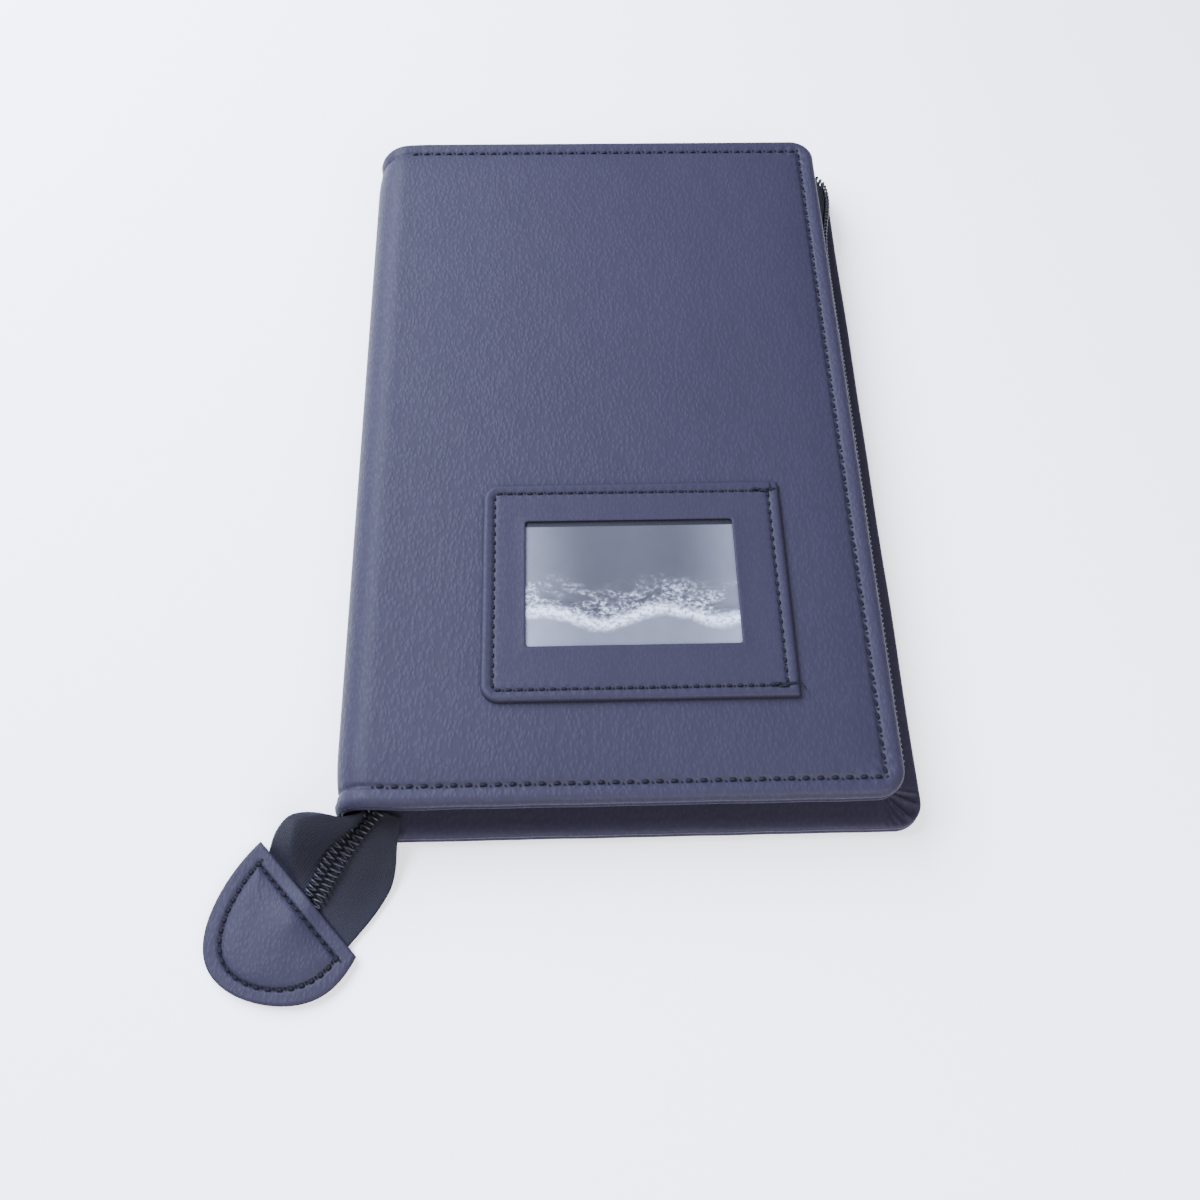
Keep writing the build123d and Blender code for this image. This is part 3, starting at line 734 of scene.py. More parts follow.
def cover_foam(cover):
    """Foam between the skin and the board: its outer face follows the skin's relief one skin lower."""
    low, high = node_span(cover.name + "_foam")
    x, y = np.meshgrid(np.linspace(low[0] + 1.5, high[0] - 2, 70),
                       np.linspace(low[1] + 2, high[1] - 2, 110), indexing="ij")
    s = cover.s_at(x)
    height = np.minimum(cover.relief(s, y), 0.0) - SKIN
    top = cover.place(s, y, np.maximum(height, -FOAM_BASE + 0.1))
    bottom = cover.place(s, y, np.full(x.shape, -FOAM_BASE))
    points, faces = closed_sheet(top, bottom)
    made = piece(cover.name + "_cover_foam", points, faces, FOAM, flip=not cover.faces_up)
    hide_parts(cover.name + "_foam")
    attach(made, cover.name + "_cover")


def cover_lining(cover, hinge, nodes):
    """Lining cloth over the inside of the cover, turned up round the inside of the spine to its
    middle height; it hangs a little slack between the boards and the spine."""
    low, high = node_span(cover.name + "_lining")
    spine_depth = 3.5
    s = graded(0, cover.s_at(high[0]), lambda v: 0.8 + 1.6 * smooth((v - cover.flat) / 20))
    y = np.linspace(low[1], high[1], 110)
    s, y = np.meshgrid(s, y, indexing="ij")
    onto_board = smooth((s - cover.rise) / (cover.flat + 4 - cover.rise))
    depth = spine_depth + (LINING_LEVEL + 0.15 - spine_depth) * onto_board
    slack = 0.12 * ripples(s, y * 0.6, 24, cover.seed + 9) * bell(s - cover.flat - 2, 9)
    sheet = cover.place(s, y - cover.shift(s), -depth - 0.1 + slack)
    under = cover.place(s, y - cover.shift(s), -depth + 0.18 + slack)
    points, faces = closed_sheet(under, sheet)
    made = piece(cover.name + "_lining_cloth", points, faces, CLOTH,
                 flip=not cover.faces_up)
    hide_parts(*nodes)
    bend_at_hinge(made, cover, hinge)


# ---------------------------------------------------------------- sewing

def stitch_row(centre, heading, spacing, onto, length, width, arch=0.32):
    """Stitches as short twisted capsules that arch out of the seam at each centre of a surface: the
    radius falls off with the sixth power of the way to the ends. A near-black cone at each end is
    painted shade standing in for the needle hole. Returns points, quads, caps, UVs and where the
    holes' points start."""
    sink = 0.12            # the ends of a stitch lie this far in the leather
    u = np.linspace(-1, 1, 7)
    v = np.linspace(0, 2 * pi, 7, endpoint=False)
    radius = width / 2 * np.sqrt(1 - 0.92 * np.abs(u) ** 6)
    along = (u * length / 2)[None, :, None]
    side = radius[None, :, None] * np.cos(v)
    height = -sink + arch * (1 - u[None, :, None] ** 2) + 0.85 * radius[None, :, None] * np.sin(v)
    cos_h, sin_h = np.cos(heading)[:, None, None], np.sin(heading)[:, None, None]
    a = centre[:, 0, None, None] + along * cos_h - side * sin_h
    b = centre[:, 1, None, None] + along * sin_h + side * cos_h
    points = onto(a, b, np.broadcast_to(height, a.shape)).reshape(-1, 3)
    count, per = len(centre), len(u) * len(v)
    base = (np.arange(count) * per)[:, None, None]
    tube_faces = (base + grid_faces(len(u), len(v), wrap=True)[None]).reshape(-1, 4)
    ring = np.arange(len(v))
    both_ends = np.stack([ring, (per - len(v) + ring)[::-1]]).reshape(1, -1)
    caps = (base[:, :, 0] + both_ends).reshape(-1, len(v))
    uv = np.stack([u[None, :, None] + 0 * a, v / (2 * pi) + 0 * a], -1).reshape(-1, 2)
    hole_points, hole_faces = needle_holes(centre, heading, spacing, onto, width * 0.42)
    return points, tube_faces, caps, uv, hole_points, hole_faces


def needle_holes(centre, heading, spacing, onto, radius):
    """Shallow near-black cones half a spacing before each stitch, painted shade standing in for the
    needle holes: a ring just above the leather and a point below it."""
    sides, above, below = 8, 0.03, -0.25
    turn = np.linspace(0, 2 * pi, sides, endpoint=False)
    at = centre - 0.5 * spacing * np.stack([np.cos(heading), np.sin(heading)], -1)
    a = at[:, 0, None] + np.concatenate([radius * np.cos(turn), [0]])
    b = at[:, 1, None] + np.concatenate([radius * np.sin(turn), [0]])
    height = np.broadcast_to(np.concatenate([np.full(sides, above), [below]]), a.shape)
    points = onto(a, b, height).reshape(-1, 3)
    ring = np.arange(sides)
    one = np.stack([ring, np.roll(ring, -1), np.full(sides, sides)], -1)
    faces = (np.arange(len(centre)) * (sides + 1))[:, None, None] + one[None]
    return points, faces.reshape(-1, 3)


def sewn(name, rows, flip=False):
    """One piece from several rows of stitches: thread first, then the needle holes' cones in a near-black
    material that paints their shade.
    """
    points, quads, caps, holes, uv, used = [], [], [], [], [], 0
    for row_points, row_quads, row_caps, row_uv, hole_points, hole_faces in rows:
        points += [row_points, hole_points]
        quads.append(row_quads + used)
        caps.append(row_caps + used)
        holes.append(hole_faces + used + len(row_points))
        uv += [row_uv, np.zeros((len(hole_points), 2))]
        used += len(row_points) + len(hole_points)
    faces = [np.concatenate(quads), np.concatenate(caps), np.concatenate(holes)]
    made = piece(name, np.concatenate(points), faces, THREAD, uv=np.concatenate(uv), flip=flip)
    made.data.materials.append(NEEDLE_HOLE_SHADE)
    # material 1 paints the holes' cones with the near-black hole shade
    dark = np.zeros(sum(len(f) for f in faces), np.int32)
    dark[len(faces[0]) + len(faces[1]):] = 1
    made.data.polygons.foreach_set("material_index", dark)
    return made


def along_line(start, end, pitch, slant):
    """Stitch centres and headings from start to end of a straight seam, a whole number of them, and
    their true spacing. Each heading strays a little."""
    start, end = np.array(start, float), np.array(end, float)
    length = np.linalg.norm(end - start)
    count = int(round(length / pitch))
    share = (np.arange(count) + 0.5) / count
    heading = np.arctan2(*(end - start)[::-1])
    draw = np.random.default_rng(count)
    centre = start + share[:, None] * (end - start)
    return centre, heading + slant + draw.normal(0, 0.035, count), length / count


def cover_stitches(cover):
    """Lockstitch round the foot, fore edge and head, in the groove of the seam."""
    s0 = cover.s_at(node_span(cover.name + "_seam_thread")[0][0])
    s1 = cover.width - SEAM
    foot, head = cover.foot + SEAM, cover.head - SEAM
    slant, length, width = 0.16, 0.52, 0.78          # the length is a share of the spacing

    def onto(s, y, height):
        return cover.place(s, y, cover.relief(s, y) + 0.2 + height)

    rows = []
    for start, end in (((s0, foot), (s1, foot)), ((s1, foot), (s1, head)), ((s1, head), (s0, head))):
        centre, heading, spacing = along_line(start, end, PITCH, slant)
        rows.append(stitch_row(centre, heading, spacing, onto, spacing * length, width))
    made = sewn(cover.name + "_stitching", rows, flip=cover.faces_up)
    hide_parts(cover.name + "_seam_thread")
    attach(made, cover.name + "_cover")


cover_skin(BACK, BACK_HINGE, ["back_skin"])
cover_skin(FRONT, FRONT_HINGE, ["front_skin", "spine_skin"])
for cover in (BACK, FRONT):
    cover_foam(cover)
    cover_stitches(cover)
cover_lining(BACK, BACK_HINGE, ["back_lining"])
cover_lining(FRONT, FRONT_HINGE, ["front_lining", "spine_lining"])


# ---------------------------------------------------------------- zip: tapes, coils and stops

COIL_LOW, COIL_HIGH = node_span("front_zip_coil")
STOP_LOW, STOP_HIGH = node_span("front_top_stop")
COIL_DEPTH = STOP_HIGH[1] - STOP_LOW[1]
ZIP_FORE, ZIP_FOOT, ZIP_HEAD = COIL_HIGH[0] - COIL_DEPTH, COIL_LOW[1] + COIL_DEPTH, STOP_LOW[1]
ZIP_RADIUS = 8.0
ZIP_START = node_span("front_zip_tape")[0][0]
COIL_PITCH = 1.6
COIL_WIRE = 0.72
COIL_MESH = 0.3        # each row reaches this far past the middle, between the other row's loops
WIRE_STEPS = 9         # points of the wire's line to one turn
WIRE_SIDES = 5
TAPE = 0.45
# The tape's section, from under the lining up the wall to the coil's back edge: outward from the zip's
# line, height
TAPE_SECTION = [(-11.5, 5.22), (-6, 5.22), (-2.4, 5.22), (-0.9, 5.35), (-0.3, 6.0), (-0.22, 7.6),
                (-0.22, 9.7)]


def zip_line(t, start):
    """Point and outward normal on the zip's line at a length t from its start on the foot run: three
    straight runs joined by two quarter circles."""
    run = ZIP_FORE - ZIP_RADIUS - start
    arc = ZIP_RADIUS * pi / 2
    side = ZIP_HEAD - ZIP_FOOT - 2 * ZIP_RADIUS
    ends = np.cumsum([run, arc, side, arc])
    x_arc, foot_arc, head_arc = ZIP_FORE - ZIP_RADIUS, ZIP_FOOT + ZIP_RADIUS, ZIP_HEAD - ZIP_RADIUS
    turn = np.select([t < ends[0], t < ends[1], t < ends[2], t < ends[3]],
                     [0, (t - ends[0]) / ZIP_RADIUS, pi / 2, pi / 2 + (t - ends[2]) / ZIP_RADIUS], pi)
    normal = np.stack([np.sin(turn), -np.cos(turn)], -1)
    centre_x = np.select([t < ends[0], t < ends[3]], [start + t, x_arc], x_arc - (t - ends[3]))
    centre_y = np.select([t < ends[1], t < ends[2]], [foot_arc, foot_arc + t - ends[1]], head_arc)
    return np.stack([centre_x, centre_y], -1) + ZIP_RADIUS * normal, normal


def zip_length(start, end):
    """Length of the zip's line from x = start on the foot run to x = end on the head run."""
    return (2 * (ZIP_FORE - ZIP_RADIUS) - start - end + pi * ZIP_RADIUS
            + ZIP_HEAD - ZIP_FOOT - 2 * ZIP_RADIUS)


def zip_bulge(point):
    """How far the closed zip is pushed outward: most on the fore run near the head, a little ripple
    elsewhere, and nothing along the head, where the slider runs."""
    fullest, most, width = np.array([ZIP_FORE, ZIP_HEAD - 13]), 3.4, 14
    away = np.linalg.norm(point - fullest, axis=-1)
    push = most * bell(away, width) + 0.18 * ripples(point[..., 0], point[..., 1], 45, 5)
    return push * smooth((ZIP_HEAD - 1.5 - point[..., 1]) / 7)


def zip_tape(name, mirrored):
    """Tape with a curved section: flat under the lining, then up the wall to the coil's back edge."""
    length = zip_length(ZIP_START, ZIP_START)
    t = np.linspace(0, length, 420)
    section = smooth_line(TAPE_SECTION, 24)
    point, normal = zip_line(t, ZIP_START)
    offset, z = section[:, 0][None], section[:, 1][None]
    push = zip_bulge(point)[:, None] * smooth((z - 5.4) / 3)
    wall = point[:, None] + normal[:, None] * (offset + push)[..., None]
    level = 2 * MIDDLE - z if mirrored else z
    points = np.concatenate([wall, np.broadcast_to(level, wall.shape[:2])[..., None]], -1)
    across = lengths_along(section)
    uv = np.stack(np.broadcast_arrays(t[:, None], across[None]), -1)
    made = piece(name + "_zip_tape_woven", points, grid_faces(*uv.shape[:2]), TAPE_CLOTH,
                 uv=uv, flip=mirrored)
    thickened(made, TAPE, offset=0)
    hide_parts(name + "_zip_tape")
    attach(made, name + "_cover")
    flat = (length * MM, across[-1] * MM)


def wound_coil(name, centre, out, up, phase, reach, climb):
    """Nylon coil: a wire wound round a centre line once a pitch, its loops rounded rectangles that go
    reach to each side of the line along out and climb along up."""
    turn = 2 * pi * np.arange(len(centre)) / WIRE_STEPS + phase

    def rounded(v):
        return np.sign(v) * np.abs(v) ** 0.72

    line = (centre + out * (reach * rounded(np.cos(turn)))[:, None]
            + up * (climb * rounded(np.sin(turn)))[:, None])
    heading = unit(np.gradient(centre, axis=0))
    points, faces = tube(line, COIL_WIRE / 2, WIRE_SIDES, heading)
    return piece(name, points, [faces, tube_ends(points, WIRE_SIDES)], COIL_NYLON)


def zip_coil(name, mirrored):
    """One row of the closed zip, pitch after pitch along the pushed line."""
    start, end = COIL_LOW[0], STOP_HIGH[0] + 0.4
    run = np.linspace(0, zip_length(start, end), 6000)
    point, normal = zip_line(run, start)
    pushed = point + normal * (COIL_DEPTH / 2 + zip_bulge(point))[:, None]
    length = lengths_along(pushed)
    steps = int(length[-1] / COIL_PITCH * WIRE_STEPS)
    point, normal = zip_line(np.interp(np.arange(steps) * COIL_PITCH / WIRE_STEPS, length, run), start)
    low = 2 * MIDDLE - COIL_HIGH[2]
    high = MIDDLE + COIL_MESH
    reach = COIL_DEPTH / 2 - COIL_WIRE / 2
    middle = point + normal * (COIL_DEPTH / 2 + 0.04 + zip_bulge(point))[:, None]
    level = (low + high) / 2
    centre = np.column_stack([middle, np.full(steps, 2 * MIDDLE - level if mirrored else level)])
    out = np.column_stack([normal, np.zeros(steps)])
    up = np.broadcast_to([0.0, 0.0, -1.0 if mirrored else 1.0], out.shape)
    made = wound_coil(name + "_zip_coil_wound", centre, out, up, pi if mirrored else 0.0, reach,
                      (high - low) / 2 - COIL_WIRE / 2)
    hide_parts(name + "_zip_coil")
    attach(made, name + "_cover")


for side_name, is_mirrored in (("back", False), ("front", True)):
    zip_tape(side_name, is_mirrored)
    zip_coil(side_name, is_mirrored)
    stop = softened(side_name + "_top_stop", METAL, width=0.3)
    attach(stop, side_name + "_cover")
for node, body, width in (("slider_body", "zip_slider", 0.35), ("pull_pin", "zip_slider", 0.15),
                          ("pull_tab", "pull_tab", 0.3)):
    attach(softened(node, METAL, width=width), body)


# ---------------------------------------------------------------- the zip's tail

TAIL_AXIS = joint_named("tail_lift")["axis"]
ALONG = np.array([-TAIL_AXIS[1], TAIL_AXIS[0]])      # away from the case
ACROSS = np.array([-ALONG[1], ALONG[0]])             # towards the fore edge
HINGE_REACH = 9.0
TAIL_TAPE_LENGTH, TAIL_TAPE_WIDTH = 46, 16
TAIL_START = joint_place("tail_lift")[:2] - HINGE_REACH * ALONG
TAB_DEPTH, TAB_WIDTH = 30.0, 41.0
TAB_PLACE, TAB_TURN = (23.3, -1.5), radians(-9.7)
TAB_SEAM = 4.0
TAB_STITCH = 2.75
TAB_FULLNESS = 4.2
TAB_LEVEL = 1.45       # top of the lower layer


def tail_point(along, across, z):
    """Point at a length along the tail, a distance across to its right and a height z."""
    flat = TAIL_START + np.multiply.outer(along, ALONG) + np.multiply.outer(across, ACROSS)
    return np.concatenate([flat, np.asarray(z, float)[..., None]], -1)


def into_tab(points):
    """How far points are inside the tab's straight edge, measured at right angles to it."""
    away = points[..., :2] - TAIL_START
    along, across = away @ ALONG - TAB_PLACE[0], away @ ACROSS - TAB_PLACE[1]
    return along * cos(TAB_TURN) + across * sin(TAB_TURN)


def bend_at_tail(made):
    """Bakes a piece of the tail's placement into its mesh."""
    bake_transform(made)


# the coil's way out of the gap and down to the tab: along, across, height of the tape under it
COIL_WAY = [(-4, -1.6, 8.1), (1, -1.7, 8.2), (6, -1.3, 8.0), (11, -1.1, 6.4), (16, -0.8, 3.9),
            (21, -0.1, 2.2), (27, 0.4, 1.5), (33, 0.5, 1.3), (39, 0.5, 1.2)]
# the tape's free edges, from the gap to inside the tab: x and y from the spine's foot corner, height
LEFT_EDGE = [(6.0, 3.0, 11.5), (3.6, -0.5, 18.0), (-1.5, 0.2, 21.0), (-7.0, 0.7, 20.6),
             (-11.6, 0.6, 17.4), (-15.6, -0.8, 11.6), (-18.8, -4.2, 5.4), (-22.0, -10.0, 1.9),
             (-28.0, -20.0, 1.2)]
RIGHT_EDGE = [(17.3, 3.5, 7.4), (16.3, -2.9, 5.9), (15.9, -8.5, 3.2), (14.9, -13.3, 1.7),
              (12.9, -17.3, 1.1), (10.2, -21.4, 1.0), (7.0, -25.5, 1.0), (2.0, -31.5, 1.0),
              (-4.0, -38.0, 1.0)]


def tail_tape(name, edge, hump, side):
    """Half of the tail's tape, spanned from the coil's way to its free edge. A half sine times a hump
    that dies out along the tail lifts the wing between the two, a low ridge runs beside the coil on
    the left, and a soft ceiling keeps the tape under the tab."""
    rows, columns = 90, 26
    way = smooth_line(COIL_WAY, rows)
    inner = tail_point(way[:, 0], way[:, 1], way[:, 2])
    corner = np.array([SPINE_X, SPINE_FOOT, 0])
    outer = smooth_line(corner + np.array(edge), rows)
    e = np.linspace(0.0, 1, columns)[None, :]
    i = np.linspace(0, 1, rows)[:, None]
    points = inner[:, None] * (1 - e)[..., None] + outer[:, None] * e[..., None]
    climb = smooth((e - 0.2) / 0.62) - e
    points[..., 2] += climb * (outer - inner)[:, None, 2]
    wing = np.sin(pi * np.clip((e - 0.22) / 0.78, 0, 1))
    lift = hump * smooth(i / 0.12) * (1 - smooth((i - 0.22) / 0.38)) * wing
    ridge = 0.7 * bell(e - 0.29, 0.06) * smooth(i / 0.05) * (1 - smooth((i - 0.3) / 0.25))
    crinkle = 0.22 * ripples(i * 40, e * 16, 15, 31 + side) * np.sin(pi * np.clip(e * 1.1, 0, 1))
    points[..., 2] += lift + (ridge if side < 0 else 0) + crinkle * (1 - smooth((i - 0.5) / 0.2))
    ceiling = 1.55 + 2.0 * np.maximum(-into_tab(points) - 0.3, 0)
    over = points[..., 2] - ceiling
    points[..., 2] = (points[..., 2] + ceiling - np.sqrt(over ** 2 + 0.5)) / 2
    points[..., 2] = np.maximum(points[..., 2], 1.0)
    uv = np.stack(np.broadcast_arrays(i * TAIL_TAPE_LENGTH, e * TAIL_TAPE_WIDTH), -1)
    made = piece(name + "_woven", points, grid_faces(rows, columns), TAPE_CLOTH, uv=uv,
                 flip=side < 0)
    thickened(made, TAPE, offset=0)
    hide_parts(name)
    bend_at_tail(made)


def tail_coil():
    """Closed coil down the middle of the tail: two rows of loops side by side, meshed at the middle
    and flattened where they pass into the tab."""
    way = smooth_line(COIL_WAY, 2000)
    centre = tail_point(way[:, 0], way[:, 1], way[:, 2])
    length = lengths_along(centre)
    steps = int(length[-1] / COIL_PITCH * WIRE_STEPS)
    centre = points_at(np.arange(steps) * COIL_PITCH / WIRE_STEPS, length, centre)
    heading = unit(np.gradient(centre, axis=0))
    right = unit(np.cross(heading, [0, 0, 1.0]))
    up = np.cross(right, heading)
    flatter = 1 - 0.62 * smooth((into_tab(centre) + 1.5) / 2)
    level, apart, reach, climb = 1.25, 1.6, 1.75, 1.05
    for name, side, phase in (("left", -1, 0.0), ("right", 1, pi)):
        row = centre + up * (level * flatter)[:, None] + right * side * apart
        made = wound_coil("tail_coil_row_" + name, row, right * side, up, phase,
                          reach - COIL_WIRE / 2, (climb - COIL_WIRE / 2) * flatter)
        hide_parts("tail_coil")
        bend_at_tail(made)


def tab_point(a, b, z):
    """Point of the tab: a from its straight edge, b to the right, turned a little on the tail. The moon
    is fuller on the right: a half sine along a, which grows from left to right, pushes b outward."""
    full = TAB_FULLNESS * np.sin(pi * np.clip(a / TAB_DEPTH, 0, 1) * 0.94)
    b = b + full * (0.6 + 0.4 * b * 2 / TAB_WIDTH)
    along = TAB_PLACE[0] + a * cos(TAB_TURN) - b * sin(TAB_TURN)
    across = TAB_PLACE[1] + a * sin(TAB_TURN) + b * cos(TAB_TURN)
    return tail_point(along, across, z)


def half_moon(inset, edge_count, arc_count):
    """Outline of the tab taken in by an inset: half an ellipse of half axes TAB_DEPTH and TAB_WIDTH / 2,
    each less the inset, closed by a straight edge at the inset."""
    deep, wide = TAB_DEPTH - inset, TAB_WIDTH / 2 - inset
    end = np.arccos(np.clip(inset / deep, 0, 1))
    angle = np.linspace(-1, 1, arc_count)[None] * end[:, None]
    arc = np.stack([deep[:, None] * np.cos(angle), wide[:, None] * np.sin(angle)], -1)
    share = np.linspace(1, -1, edge_count)[None, 1:-1]
    edge = np.stack([inset[:, None] + 0 * share, (wide * np.sin(end))[:, None] * share], -1)
    return np.concatenate([arc, edge], 1)


def tab_inset(a, b):
    """Inset of a point of the tab: the distance from the straight edge or, where less, the inset of the
    ellipse through the point, found by halving."""
    low, high = np.zeros(np.shape(a)), np.full(np.shape(a), TAB_WIDTH / 2 - 0.5)
    for _ in range(24):
        trial = (low + high) / 2
        inside = (a / (TAB_DEPTH - trial)) ** 2 + (b / (TAB_WIDTH / 2 - trial)) ** 2 < 1
        low, high = np.where(inside, trial, low), np.where(inside, high, trial)
    return np.minimum(low, np.maximum(a, 0))


def tab_height(a, b):
    """Top of the tab: a flat flange, the groove of the seam, inside it a pad with a soft ridge along
    it, and a swell over the end of the coil."""
    inset = tab_inset(a, b)
    pad = rise((inset - TAB_SEAM) / 7.0)
    ridge = bell(b - 0.12 * a, 5.5) * (1 - 0.75 * smooth((a - 4) / 17))
    over_coil = 1.5 * bell(b - 1.2, 5.2) * (1 - smooth((a - 3) / 11))
    height = 2.75 + 0.85 * pad + 0.75 * ridge * pad + over_coil
    height = height - 0.5 * bell(inset - TAB_SEAM, 0.6)
    height = height + 0.1 * ripples(a, b, 9, 41) * smooth((inset - 0.8) / 2)
    return height - 0.4 * (1 - np.clip(inset / 0.6, 0, 1)) ** 2


def tab_layer(name, level, thickness, node):
    """One layer of the tab: rings of the outline taken in step by step to a point."""
    inset = np.concatenate([[0.0, 0.06, 0.2, 0.45, 0.8, 1.4], np.linspace(2.0, 3.0, 4),
                            np.linspace(3.25, 4.9, 10), np.linspace(5.4, 14.6, 17)])
    rings = half_moon(inset, 64, 96)
    a, b = rings[..., 0], rings[..., 1]
    points = tab_point(a, b, level(a, b))
    pole_a, pole_b = np.array([TAB_DEPTH / 2]), np.array([0.0])
    pole = tab_point(pole_a, pole_b, level(pole_a, pole_b))
    count = rings.shape[1]
    last = (len(inset) - 1) * count + np.arange(count)
    fan = np.stack([last, np.full(count, len(inset) * count), np.roll(last, -1)], -1)
    faces = [grid_faces(len(inset), count, wrap=True), fan]
    made = piece(name, np.concatenate([points.reshape(-1, 3), pole]), faces, TAB_LEATHER,
                 flip=True)
    thickened(made, thickness)
    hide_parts(node)
    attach(made, "zip_tail")


def tab_stitches():
    """One row across the straight edge and one round the moon; they cross at both corners."""
    def onto(a, b, height):
        return tab_point(a, b, tab_height(a, b) + 0.18 + height)

    overrun, share, width = 1.2, 0.62, 0.85
    seam_end = (TAB_WIDTH / 2 - TAB_SEAM) * sin(np.arccos(TAB_SEAM / (TAB_DEPTH - TAB_SEAM)))
    reach = seam_end + overrun
    centre, heading, spacing = along_line((TAB_SEAM, reach), (TAB_SEAM, -reach), TAB_STITCH, 0.14)
    rows = [stitch_row(centre, heading, spacing, onto, spacing * share, width)]
    ring = half_moon(np.array([TAB_SEAM]), 4, 800)[0, :800]
    tangent = unit(np.diff(ring, axis=0))
    before, after = ring[0] - overrun * tangent[0], ring[-1] + overrun * tangent[-1]
    ring = np.concatenate([[before], ring, [after]])
    length = lengths_along(ring)
    count = int(round(length[-1] / TAB_STITCH))
    at = (np.arange(count) + 0.5) * length[-1] / count
    centre = points_at(at, length, ring)
    step = points_at(at + 0.4, length, ring) - centre
    heading = np.arctan2(step[:, 1], step[:, 0]) - 0.12
    spacing = length[-1] / count
    rows.append(stitch_row(centre, heading, spacing, onto, spacing * share, width))
    made = sewn("tail_tab_stitching", rows)
    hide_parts("tail_tab_thread")
    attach(made, "zip_tail")


def low_layer(a, b):
    """Lower layer of the tab: flat, its edge rounded down a little."""
    inset = tab_inset(a, b)
    return TAB_LEVEL - 0.3 * (1 - np.clip(inset / 0.5, 0, 1)) ** 2


tail_tape("tail_left_tape", LEFT_EDGE, 1.2, -1)
tail_tape("tail_right_tape", RIGHT_EDGE, 1.0, 1)
tail_coil()
tab_layer("tail_tab_upper", tab_height, 1.15, "tail_tab_top")
tab_layer("tail_tab_lower", low_layer, 1.3, "tail_tab_bottom")
tab_stitches()
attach(softened("tail_stop", METAL), "zip_tail")


# ---------------------------------------------------------------- the card window on the front cover

FRAME_LOW, FRAME_HIGH = node_span("id_pocket_frame")
FILM_LOW, FILM_HIGH = node_span("id_window_film")
WINDOW_LOW, WINDOW_HIGH = FILM_LOW[:2] + FILM_MARGIN, FILM_HIGH[:2] - FILM_MARGIN
ID_SEAM = 3.2
ID_STITCH = 2.9
FRAME_BAND = 6.0       # the frame's outer band, with its seam, is drawn at fixed insets this far in
SKIRT_INSET = 1.6      # where the section goes under the frame and down into the cover
# The frame's section: inset from its outer edge and height against its top; then, from the band on,
# share of the way to the window and height against the top
FRAME_OUTER = [(0.9, -1.86), (0.15, -1.8), (-0.12, -1.2), (0.05, -0.55), (0.5, -0.12), (1.2, 0.04),
               (2.0, -0.05), (2.6, -0.2), (ID_SEAM, -0.5), (3.8, -0.22), (4.6, -0.12), (FRAME_BAND, -0.1)]
FRAME_INNER = [(0.15, -0.1), (0.35, -0.12), (0.55, -0.12), (0.75, -0.08), (0.88, -0.02), (0.95, 0.02),
               (0.985, -0.05), (1.0, -0.22), (1.0, -0.45), (0.98, -0.58), (0.6, -0.6), (0.2, -0.6)]


def rounded_ring(low, high, radii, side_count, corner_count):
    """Closed rectangle with one radius for each corner, from the foot's left end round to the right:
    every side and every corner arc has its own fixed number of points."""
    corners = [(low[0], low[1], 1, 1), (high[0], low[1], -1, 1),
               (high[0], high[1], -1, -1), (low[0], high[1], 1, -1)]
    arcs = []
    for k, ((x, y, to_x, to_y), r) in enumerate(zip(corners, radii)):
        centre = np.array([x + to_x * r, y + to_y * r])
        angle = pi + k * pi / 2 + np.linspace(0, pi / 2, corner_count)
        arcs.append(centre + r * np.stack([np.cos(angle), np.sin(angle)], -1))
    parts = []
    for k in range(4):
        start, end = arcs[k][-1], arcs[(k + 1) % 4][0]
        share = np.linspace(0, 1, side_count + 2)[1:-1, None]
        parts += [arcs[k], start + share * (end - start)]
    return np.concatenate(parts)


